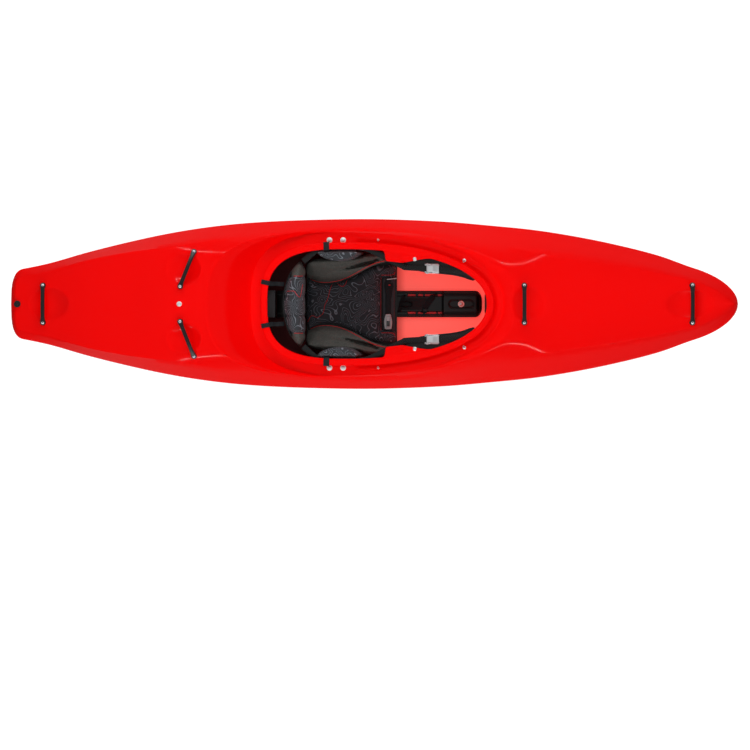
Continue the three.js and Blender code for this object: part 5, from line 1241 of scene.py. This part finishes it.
def make_lifter():
    """Leg lifter panel with its gusset, webbing, cam buckle, steel pull and small tab."""
    shapes = [
        (slab(np.array(LIFTER_PANEL, float), LIFTER_FOOT, LIFTER_TOP, 4), "nylon_twill"),
        (slab(LIFTER_HEM, *HEM_LEVELS, 0.4), "nylon_twill"),
        (slab(np.array(LIFTER_GUSSET, float), *GUSSET_LEVELS, 0.4), WEBBING),
    ]
    make_piece("leg_lifter_panel", shapes, "leg_lifter", FABRIC, ("leg_lifter",))
    shapes = [ribbon(LIFTER_STRAP, 21, 1.8, (1, 0, 0)), ribbon(LIFTER_FOLD, 15, 1.6, (1, 0, 0))]
    shapes.append((slab(LIFTER_TAB, *TAB_LEVELS, 0.6), RED))
    make_piece("lifter_webbing", shapes, "leg_lifter", "black_webbing", ("lifter_strap",))
    shapes = [(sweep(smooth_path(LIFTER_ROD, 12), rounded_rect(4.6, 4.6, 2.2), (0, 0, 1)), STEEL)]
    make_piece("lifter_pull", shapes, "leg_lifter", "stainless_steel")
    outline = smooth_path(BUCKLE_OUTLINE, 48, True)
    hole = inner_loop(BUCKLE_HOLE, 48)
    rows = [(outline, BUCKLE_FOOT), (grown(outline, 0.6), 100.4), (grown(outline, 0.2), 104.6)]
    rows += [(grown(outline, -2), 106.2), (hole, BUCKLE_RIM_TOP), (hole, BUCKLE_FOOT), (outline, BUCKLE_FOOT)]
    ring = [np.concatenate([np.column_stack([xy, np.full(len(xy), z)]), [(*xy[0], z)]]) for xy, z in rows]
    shapes = [(grid(ring, True), "cast_acetal")]
    make_piece("buckle_frame", shapes, "leg_lifter", "stainless_steel", ("lifter_buckle",))
    shapes = [(slab(BUCKLE_LEVER, 100, 105.8, 1.6), "cast_acetal")]
    shapes.append((slab(BUCKLE_WINDOW, 105, 106.2, 0.5), "dark_acetal"))
    make_piece("buckle_cam", shapes, "buckle_lever", "stainless_steel", ("lifter_buckle_lever",))


def inner_loop(outline, count):
    """Evenly spread points along a closed outline of straight runs."""
    p = np.concatenate([outline, outline[:1]])
    run = np.concatenate([[0], np.cumsum(np.linalg.norm(np.diff(p, axis=0), axis=1))])
    at = np.linspace(0, run[-1], count, endpoint=False)
    return np.stack([np.interp(at, run, p[:, k]) for k in (0, 1)], -1)


# Backband
BAND_CHANNELS = (103, 29, -44, -108)
BAND_HALF, BAND_WING = 163, 160
BAND_FRONT, BAND_REAR, BAND_FOOT, BAND_TOP = -260, -329, 118, 316
WING_FRONT, WING_REAR, WING_FOOT, WING_TOP = 3, 50, 16, 30  # how far the wings sweep in from these
DENT_SIDE, DENT_TOP, DENT_WIDTH = 3.5, 5, 5
BAND_POWERS, BAND_END_POWER = (2.7, 3.6), 9
CREASE_DEPTH, CREASE_TOP_DEPTH, CREASE_WIDTH = 2.2, 2.5, 4
BAND_STITCH = ((-318, 47), (-300, 48), (-291, 46), (-282, 33), (-273, 26), (-268, 36), (-264, 60), (-262, 72))


def dents(y, width):
    """1 in the middle of each stitched channel of the backband, falling off as a bell over the width."""
    return sum(np.exp(-(((y - at) / width) ** 2)) for at in BAND_CHANNELS)


def make_backband():
    """Backband: three printed lobes between stitched channels, with puffed mesh wings that sweep forward.

    Each section across it is a superellipse; its front, rear, foot and top go as the square of y.
    """
    y = BAND_HALF * np.sin(np.linspace(-math.pi / 2, math.pi / 2, 91))
    share = (y / BAND_WING) ** 2
    end = (1 - np.clip(np.abs(y) / BAND_HALF, 0, 1) ** BAND_END_POWER) ** 0.5
    channel = dents(y, DENT_WIDTH)
    front = BAND_FRONT + WING_FRONT * share - DENT_SIDE * channel
    rear = BAND_REAR + WING_REAR * share + DENT_SIDE * channel
    foot, top = BAND_FOOT + WING_FOOT * share, BAND_TOP - WING_TOP * share - DENT_TOP * channel
    turn = np.linspace(0, 2 * math.pi, 49)[:-1]
    c, s = np.cos(turn), np.sin(turn)
    across = np.sign(c) * np.abs(c) ** (2 / BAND_POWERS[0])
    up = np.sign(s) * np.abs(s) ** (2 / BAND_POWERS[1])
    middle_x, middle_z = (front + rear) / 2, (foot + top) / 2
    x = middle_x[:, None] + across * ((front - rear) / 2 * np.maximum(end, 0.05))[:, None]
    z = middle_z[:, None] + up * ((top - foot) / 2 * np.maximum(end, 0.3))[:, None]
    x = x + 9 * np.clip((z - middle_z[:, None]) / 100, -1, 1) * -0.4
    ring = np.stack([x, np.broadcast_to(y[:, None], x.shape), z], -1)
    ring = np.concatenate([ring, ring[:, :1]], 1)
    ends = [np.broadcast_to(r.mean(0), r.shape)[None] for r in (ring[0], ring[-1])]
    shape = grid(np.concatenate([ends[0], ring, ends[1]]))

    def crease(p):
        px, py, pz = p.T
        dent = dents(py, CREASE_WIDTH)
        px = px + CREASE_DEPTH * dent * np.sign(-295 - px)
        return np.stack([px, py, pz - CREASE_TOP_DEPTH * dent * (pz > 250)], -1)

    def paint(centres):
        return (centres[:, 1] > BAND_CHANNELS[0]) | (centres[:, 1] < BAND_CHANNELS[-1])

    cloths = [CONTOUR, MESH_CLOTH]
    nodes = ("backband_pad",)
    band = stuffed("backband_cover", shape, cloths, "backband", nodes, crease, 5, 5, painting=paint)
    lines = [BAND_STITCH]
    for at in (BAND_CHANNELS[0], BAND_CHANNELS[-1]):
        seam_rear = -318 + 24 * (at / BAND_CHANNELS[0]) ** 2 * (abs(at) > 60)
        lines.append([(seam_rear, at), (-290, at), (-262, at)])
    piping("backband_stitching", [band], lines, THREAD, "backband")


# Hip plates
HIP_PLATE_REAR, HIP_PLATE_FRONT, HIP_PLATE_Y, HIP_PLATE_BULGE = -225, -71, 190, 27
HIP_PLATE_FOOT, HIP_PLATE_TOP, HIP_PLATE_EDGE = -200, 4, 7
HIP_FLANGE = (-212, -84, HIP_PLATE_Y, RIM_SIDE + 20)
HIP_FLANGE_FOOT, HIP_FLANGE_TOP = -40, -34


def make_hip_plates():
    """Printed hip plates hung inside the rim on their flanges and bolts; their inner face is a half sine."""
    x = np.linspace(HIP_PLATE_REAR, HIP_PLATE_FRONT, 25)
    inner = HIP_PLATE_Y - HIP_PLATE_BULGE * np.sin(np.linspace(0, math.pi, 25)) ** 0.8
    back = [(HIP_PLATE_FRONT, 193), (-148, 194), (HIP_PLATE_REAR, 193)]
    outline = np.concatenate([np.column_stack([x, inner]), back])
    for side, word in SIDES:
        shape = on_rim(slab(outline, HIP_PLATE_FOOT, HIP_PLATE_TOP, HIP_PLATE_EDGE), side)
        stuffed(f"hip_plate_cover_{word}", shape, [CONTOUR], "hull", (f"hip_plate_{word}",), None, 5, 4)
        flange = slab(rectangle(*HIP_FLANGE), HIP_FLANGE_FOOT, HIP_FLANGE_TOP, 1.5)
        shapes = [(on_rim(flange, side), BLACK)]
        for place in HIP_BOLT_X:
            shapes += bolt(in_rim((place, side * RIM_BOLT_Y, -RIM_RISE)), TILTED_UP)
        make_piece(f"hip_flange_{word}", shapes, "hull", "black_plastic")


# Thigh braces and ratchets
BRACE_DROP, BRACE_THICKNESS, THIGH_PAD_THICKNESS = 52, 5, 11
BRACE_OUTLINE = (
    (-14, 226), (39.9, 196), (85.9, 158), (150.2, 122), (284.1, 105), (352.1, 86),
    (360, 112), (336.1, 178), (290.1, 192), (189.8, 215), (90, 240), (-14, 250),
)
LADDER_ROUTE = (
    (-282, 158), (-236, 197.5), (-214.7, 210), (-73.9, 209),
    (-25, 197.5), (85.2, 142.5), (121.9, 134), (330, 124),
)
LADDER_DROP, LADDER_WIDTH, TOOTH_STEP, TOOTH_LENGTH, TOOTH_HALF = 47.2, 22, 7.0, 3, 7
RATCHET_MIDDLE, RATCHET_REAR, RATCHET_FRONT, RATCHET_HALF = 130.3, 172, 226, 18
RATCHET_CHEEK, PIN_X, PIN_RADIUS, PIN_RISE = 16.5, 183, 3, 9.5
LEVER_REAR, LEVER_RISE, LEVER_WIDTH = 182, 11, 27
BRACE_GAP = 0.3


def make_braces():
    """Thigh braces under the front of the rim, and the foam under them."""
    outline = smooth_path(BRACE_OUTLINE, 96, True)
    foot = -BRACE_DROP - BRACE_THICKNESS
    for side, word in SIDES:
        plate = slab(outline, foot, -BRACE_DROP, 2.2)
        lip_path = [(x, y + 2, -BRACE_DROP - 2.5) for x, y in smooth_path(BRACE_OUTLINE[:6], 50)[6:]]
        lip = sweep(lip_path, rounded_rect(6, 8, 2.8), (0, 1, 0))
        shapes = [(on_rim(shape, side), BLACK) for shape in (plate, lip)]
        nodes = (f"thigh_brace_{word}",)
        make_piece(f"thigh_brace_plate_{word}", shapes, f"brace_{word}", "black_plastic", nodes)
        pad_top = foot - BRACE_GAP
        pad = grown(smooth_path(BRACE_OUTLINE[2:9], 60, True), -6)
        shapes = [(on_rim(slab(pad, pad_top - THIGH_PAD_THICKNESS, pad_top, 4.5), side), FOAM)]
        node = f"thigh_pad_{word}"
        piece = make_piece(f"thigh_foam_{word}", shapes, f"brace_{word}", "black_foam", (node,))


def ladder_shapes():
    """A ladder strap with its teeth, in the rim's plane."""
    route = smooth_path(LADDER_ROUTE, 150)
    path = np.column_stack([route, np.full(len(route), -LADDER_DROP)])
    shapes = [sweep(path, rounded_rect(LADDER_WIDTH, 2.4, 0.8), (0, 1, 0))]
    for x in np.arange(30, 322, TOOTH_STEP):
        y = float(np.interp(x, route[:, 0], route[:, 1]))
        tooth = rectangle(x, x + TOOTH_LENGTH, y - TOOTH_HALF, y + TOOTH_HALF)
        shapes.append(slab(tooth, -LADDER_DROP + 1, -LADDER_DROP + 2.4, 0.5, 1))
    return shapes


def ratchet_shapes(foot):
    """A ratchet's base in the rim's plane: plate, two cheeks with their rivets, and three teeth."""
    middle, half = RATCHET_MIDDLE, RATCHET_HALF
    chamfer = 4
    plate = [(RATCHET_REAR, -half), (RATCHET_FRONT - chamfer, -half), (RATCHET_FRONT, -half + chamfer)]
    plate = np.array(plate + [(x, -y) for x, y in plate[::-1]], float) + (0, middle)
    shapes = [slab(plate, foot, foot + 3, 0.9)]
    cheek = [(RATCHET_REAR, 0), (200, 0), (200, 8), (192, 14), (177, 14), (RATCHET_REAR, 9)]
    cheek = np.array(cheek, float) + (0, foot)
    for s in (-1, 1):
        at = middle + s * RATCHET_CHEEK
        shapes.append(on_edge(slab(cheek, at - 1.5, at + 1.5, 0.8)))
        shapes.append(lathe(RIVET, (PIN_X, middle + s * half, foot + PIN_RISE), (0, s, 0), 20))
    for start in (206, 212, 218):
        bar = rectangle(start, start + 3, -13, 13) + (0, middle)
        shapes.append(slab(bar, foot + 2.6, foot + 3.6, 0.4, 1))
    return shapes


def lever_shapes(foot):
    """A ratchet's lever in the rim's plane: a plate that curls up, grip bars that grow, and its pin."""
    middle = RATCHET_MIDDLE
    x = np.linspace(LEVER_REAR, RATCHET_FRONT, 12)
    path = np.column_stack([x, np.full(12, middle), foot + 1.5 + 2.4 * ease((x - 205) / 21)])
    width = mix(0.86, 1, ease((x - LEVER_REAR) / 30))[:, None]
    shapes = [sweep(path, rounded_rect(LEVER_WIDTH, 3, 1.2), (0, 1, 0), width)]
    for k in range(6):
        bar = rectangle(204 + 3.4 * k, 205.8 + 3.4 * k, -11, 11) + (0, middle)
        shapes.append(slab(bar, foot + 2.4, foot + 4.4 + 0.3 * k, 0.5, 1))
    pin = [(0, -13.5), (PIN_RADIUS, -13.5), (PIN_RADIUS, 13.5), (0, 13.5)]
    return shapes + [lathe(pin, (PIN_X, middle, foot + 1.5), (0, 1, 0), 20)]


def make_ratchets():
    """Toothed ladder straps and the steel ratchets that they run through."""
    foot = -BRACE_DROP + BRACE_GAP
    for side, word in SIDES:
        for name, shapes, material, body, slot, node in (
            ("ladder_band", ladder_shapes(), BLACK, "backband", "black_webbing", "ladder_strap"),
            ("ratchet_frame", ratchet_shapes(foot), STEEL, f"brace_{word}", "stainless_steel",
             "ratchet_base"),
            ("ratchet_handle", lever_shapes(foot + LEVER_RISE), STEEL, f"ratchet_lever_{word}",
             "stainless_steel", "ratchet_lever"),
        ):
            shapes = [(on_rim(shape, side), material) for shape in shapes]
            make_piece(f"{name}_{word}", shapes, body, slot, (f"{node}_{word}",))


# Rim straps
STRAP_STAND = 1.9
REAR_STRAP = ("rear", -405, 80, 17, 14)
SIDE_STRAP = ("side", -175, RIM_SIDE, 22, 4)
HANGER_PLACES = ((-345, 74, 250), (-331, 73, 246))
HANGER_WIDTH = 16


def rim_point(x, side, y, depth, drop):
    """A point at a depth in from the lip and a drop from the rim's top, square to the lip at x, y."""
    lip = np.array([float(v) for v in on_oval(oval(0), np.float64(x), np.float64(side * y))])
    ahead = np.array([float(v) for v in on_oval(oval(0), np.float64(x + 8), np.float64(side * y))])
    way = (ahead - lip) / np.linalg.norm(ahead - lip)
    at = lip + np.array((side * way[1], -side * way[0])) * depth
    return np.array((at[0], at[1], rim_height(at[0]) - drop)), way


def strap_loop(tail):
    """Route of a strap round the rim, its tail hanging free: (depth in from the lip, drop from the top)."""
    out, inner, under = STRAP_STAND, RIM_WIDTH + STRAP_STAND, LIP_THICKNESS + STRAP_STAND
    return (
        (9.5, under), (2, under), (-out + 0.5, under - 1), (-out, LIP_THICKNESS / 2),
        (-out + 0.6, -out + 0.8), (3, -out), (12, -out), (22, -out), (inner, -out + 1), (inner + 1, 4),
        (inner + 2, 12), (inner + tail, LIP_THICKNESS + tail),
    )


def make_rim_straps():
    """Webbing round the rim: two loops at the rear that go on to the backband, one at each hip plate."""
    for side, word in SIDES:
        for label, x, y, width, tail in (REAR_STRAP, SIDE_STRAP):
            points = [rim_point(x, side, y, depth, drop)[0] for depth, drop in strap_loop(tail)]
            way = rim_point(x, side, y, 0, 0)[1]
            across = (way[0], way[1], way[0] * math.tan(RIM_TILT))
            shapes = [(sweep(smooth_path(points, 70), rounded_rect(width, 1.9, 0.8, 1), across), WEBBING)]
            nodes = (f"{label}_rim_strap_{word}",)
            make_piece(f"{label}_rim_loop_{word}", shapes, "hull", "black_webbing", nodes)
        start = rim_point(REAR_STRAP[1], side, REAR_STRAP[2], RIM_WIDTH + STRAP_STAND + 12, 19)[0]
        points = [start, mix(start, np.array((-345, side * 76, 246)), 0.5) + (0, 0, -4)]
        points += [(x, side * y, z) for x, y, z in HANGER_PLACES]
        section = rounded_rect(HANGER_WIDTH, 1.8, 0.8, 1)
        shapes = [(sweep(smooth_path(points, 30), section, (0, 1, 0)), WEBBING)]
        hanger = make_piece(f"backband_hanger_{word}", shapes, None, "black_webbing")
        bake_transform(hanger)


# Footrest rails
RAIL_REAR, RAIL_LENGTH, RAIL_Z, RAIL_IN = 540, 175, 175, 216.7
RAIL_HALF, RAIL_CHAMFER, RAIL_THICKNESS = 12, 3, 10
RAIL_BOLTS = (0.4, 0.68)
BOSS_RADIUS, BOSS_DEPTH = 8, 15


def rail_outline():
    """A rail seen from the side, with its corners cut."""
    front, low, high = RAIL_REAR + RAIL_LENGTH, RAIL_Z - RAIL_HALF, RAIL_Z + RAIL_HALF
    cut = RAIL_CHAMFER
    return np.array([
        (RAIL_REAR + cut, low), (front - cut, low), (front, low + cut), (front, high - cut),
        (front - cut, high), (RAIL_REAR + cut, high), (RAIL_REAR, high - cut), (RAIL_REAR, low + cut),
    ], float)


def make_rails():
    """Footrest rails with their bosses, and the bolts through the hull's sides."""
    x = np.array([RAIL_REAR + RAIL_LENGTH * share for share in RAIL_BOLTS])
    section = side_section(x, 6, 3, 0)
    bar = on_edge(slab(rail_outline(), RAIL_IN, RAIL_IN + RAIL_THICKNESS, 1.5))
    for side, word in SIDES:
        outward = (0, side, 0)
        shapes = [(sided(bar, side), BLACK)]
        for k, at in enumerate(x):
            y = float(np.interp(RAIL_Z, section[k, :, 1], section[k, :, 0]))
            foot = np.array((at, side * y, RAIL_Z))
            far = RAIL_IN - y
            boss = [(0, far), (BOSS_RADIUS, far), (BOSS_RADIUS, -BOSS_DEPTH), (0, -BOSS_DEPTH)]
            shapes.append((lathe(boss, foot, outward, 24), BLACK))
            shapes += bolt(foot - (0, side * 1.5, 0), outward, washer=0, depth=16)
            shapes.append((lathe(HULL_PLUG, foot, outward, 28), "red_polyethylene"))
        make_piece(f"footrest_track_{word}", shapes, "hull", "black_plastic", (f"footrest_rail_{word}",))


def dress_nodes():
    """Real materials on the CAD parts that stay."""
    plastics = (
        "seat_pan", "bulkhead_plate", "bulkhead_knob_port", "bulkhead_knob_starboard", "backband_plate",
    )
    for material, names in ((FOAM, ("front_pillar", "rear_pillar", "bulkhead_foam")), (BLACK, plastics)):
        for name in names:
            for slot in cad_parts[name].material_slots:
                slot.material = bpy.data.materials[material]


class KayakLook(bpy.types.PropertyGroup):
    """What can be changed about the boat and its stage."""

    shell_color: FloatVectorProperty(
        name="Shell color", description="Color of the moulding", subtype="COLOR", size=3, min=0, max=1,
        default=linear("F20404")[:3],
    )
    shell_roughness: FloatProperty(
        name="Shell roughness", description="How dull the moulding's surface is", subtype="FACTOR",
        min=0.05, max=1, default=0.2,
    )
    key_power: FloatProperty(
        name="Key power", description="Power of the soft lamp overhead", subtype="POWER", unit="POWER",
        min=0, default=38,
    )
    strip_power: FloatProperty(
        name="Strip power", description="Power of each strip lamp at the sides", subtype="POWER",
        unit="POWER", min=0, default=60,
    )
    sky_strength: FloatProperty(
        name="Sky strength", description="Light from all round", min=0, max=2, default=0.2,
    )
    camera_height: FloatProperty(
        name="Camera height", description="Height of the camera over the floor", subtype="DISTANCE",
        unit="LENGTH", min=5, max=40, default=15,
    )


class KAYAK_OT_materials(bpy.types.Operator):
    """Make every material of the boat."""

    bl_idname = "kayak.materials"
    bl_label = "Make Kayak Materials"

    def execute(self, context):
        make_materials(context.scene.kayak_look)
        return {"FINISHED"}


class KAYAK_OT_stage(bpy.types.Operator):
    """Set up the floor, the lamps and the camera."""

    bl_idname = "kayak.stage"
    bl_label = "Make Kayak Stage"

    def execute(self, context):
        make_stage(context.scene.kayak_look)
        return {"FINISHED"}


class KAYAK_OT_shell(bpy.types.Operator):
    """Build the hull, the decks and the cockpit rim."""

    bl_idname = "kayak.shell"
    bl_label = "Make Kayak Shell"

    def execute(self, context):
        make_shell()
        return {"FINISHED"}


class KAYAK_OT_handles(bpy.types.Operator):
    """Build the five grab handles."""

    bl_idname = "kayak.handles"
    bl_label = "Make Grab Handles"

    def execute(self, context):
        make_handles()
        return {"FINISHED"}


class KAYAK_OT_bolts(bpy.types.Operator):
    """Build the bolts of deck and rim."""

    bl_idname = "kayak.bolts"
    bl_label = "Make Deck Bolts"

    def execute(self, context):
        make_bolts()
        return {"FINISHED"}


class KAYAK_OT_drain_plug(bpy.types.Operator):
    """Build the drain plug and its seal."""

    bl_idname = "kayak.drain_plug"
    bl_label = "Make Drain Plug"

    def execute(self, context):
        make_drain_plug()
        return {"FINISHED"}


class KAYAK_OT_tray(bpy.types.Operator):
    """Build the centre tray, its webbing and its bolt."""

    bl_idname = "kayak.tray"
    bl_label = "Make Seat Tray"

    def execute(self, context):
        make_tray()
        return {"FINISHED"}


class KAYAK_OT_seat(bpy.types.Operator):
    """Build the seat cushion, the hip pads and their piping."""

    bl_idname = "kayak.seat"
    bl_label = "Make Seat"

    def execute(self, context):
        make_seat()
        return {"FINISHED"}


class KAYAK_OT_lifter(bpy.types.Operator):
    """Build the leg lifter with its strap and cam buckle."""

    bl_idname = "kayak.lifter"
    bl_label = "Make Leg Lifter"

    def execute(self, context):
        make_lifter()
        return {"FINISHED"}


class KAYAK_OT_backband(bpy.types.Operator):
    """Build the padded backband."""

    bl_idname = "kayak.backband"
    bl_label = "Make Backband"

    def execute(self, context):
        make_backband()
        return {"FINISHED"}


class KAYAK_OT_hip_plates(bpy.types.Operator):
    """Build the two hip plates and their flanges."""

    bl_idname = "kayak.hip_plates"
    bl_label = "Make Hip Plates"

    def execute(self, context):
        make_hip_plates()
        return {"FINISHED"}


class KAYAK_OT_braces(bpy.types.Operator):
    """Build the thigh braces and their foam."""

    bl_idname = "kayak.braces"
    bl_label = "Make Thigh Braces"

    def execute(self, context):
        make_braces()
        return {"FINISHED"}


class KAYAK_OT_ratchets(bpy.types.Operator):
    """Build the ladder straps and the ratchets."""

    bl_idname = "kayak.ratchets"
    bl_label = "Make Ratchets"

    def execute(self, context):
        make_ratchets()
        return {"FINISHED"}


class KAYAK_OT_rim_straps(bpy.types.Operator):
    """Build the webbing looped round the rim."""

    bl_idname = "kayak.rim_straps"
    bl_label = "Make Rim Straps"

    def execute(self, context):
        make_rim_straps()
        return {"FINISHED"}


class KAYAK_OT_rails(bpy.types.Operator):
    """Build the footrest rails and the hull bolts."""

    bl_idname = "kayak.rails"
    bl_label = "Make Footrest Rails"

    def execute(self, context):
        make_rails()
        return {"FINISHED"}


class KAYAK_OT_dressing(bpy.types.Operator):
    """Put real materials on the hidden parts that stay."""

    bl_idname = "kayak.dressing"
    bl_label = "Dress Hidden Parts"

    def execute(self, context):
        dress_nodes()
        return {"FINISHED"}


STEPS = (
    KAYAK_OT_materials,
    KAYAK_OT_stage,
    KAYAK_OT_shell,
    KAYAK_OT_handles,
    KAYAK_OT_bolts,
    KAYAK_OT_drain_plug,
    KAYAK_OT_tray,
    KAYAK_OT_seat,
    KAYAK_OT_lifter,
    KAYAK_OT_backband,
    KAYAK_OT_hip_plates,
    KAYAK_OT_braces,
    KAYAK_OT_ratchets,
    KAYAK_OT_rim_straps,
    KAYAK_OT_rails,
    KAYAK_OT_dressing,
)


class KAYAK_PT_panel(bpy.types.Panel):
    """The boat's settings and building steps, in order."""

    bl_label = "Whitewater Kayak"
    bl_space_type = "VIEW_3D"
    bl_region_type = "UI"
    bl_category = "Kayak"

    def draw(self, context):
        look = context.scene.kayak_look
        stage = ("key_power", "strip_power", "sky_strength", "camera_height")
        for name in ("shell_color", "shell_roughness", *stage):
            self.layout.prop(look, name)
        for step in STEPS:
            self.layout.operator(step.bl_idname)


def register():
    for cls in (KayakLook, *STEPS, KAYAK_PT_panel):
        bpy.utils.register_class(cls)
    bpy.types.Scene.kayak_look = PointerProperty(type=KayakLook)


def unregister():
    del bpy.types.Scene.kayak_look
    for cls in reversed((KayakLook, *STEPS, KAYAK_PT_panel)):
        bpy.utils.unregister_class(cls)


def main():
    """Build the whole scene in order."""
    register()
    for step in STEPS:
        group, name = step.bl_idname.split(".")
        if getattr(getattr(bpy.ops, group), name)() != {"FINISHED"}:
            raise RuntimeError(step.bl_idname)
    bpy.context.view_layer.update()
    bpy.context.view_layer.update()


if __name__ == "__main__":
    main()
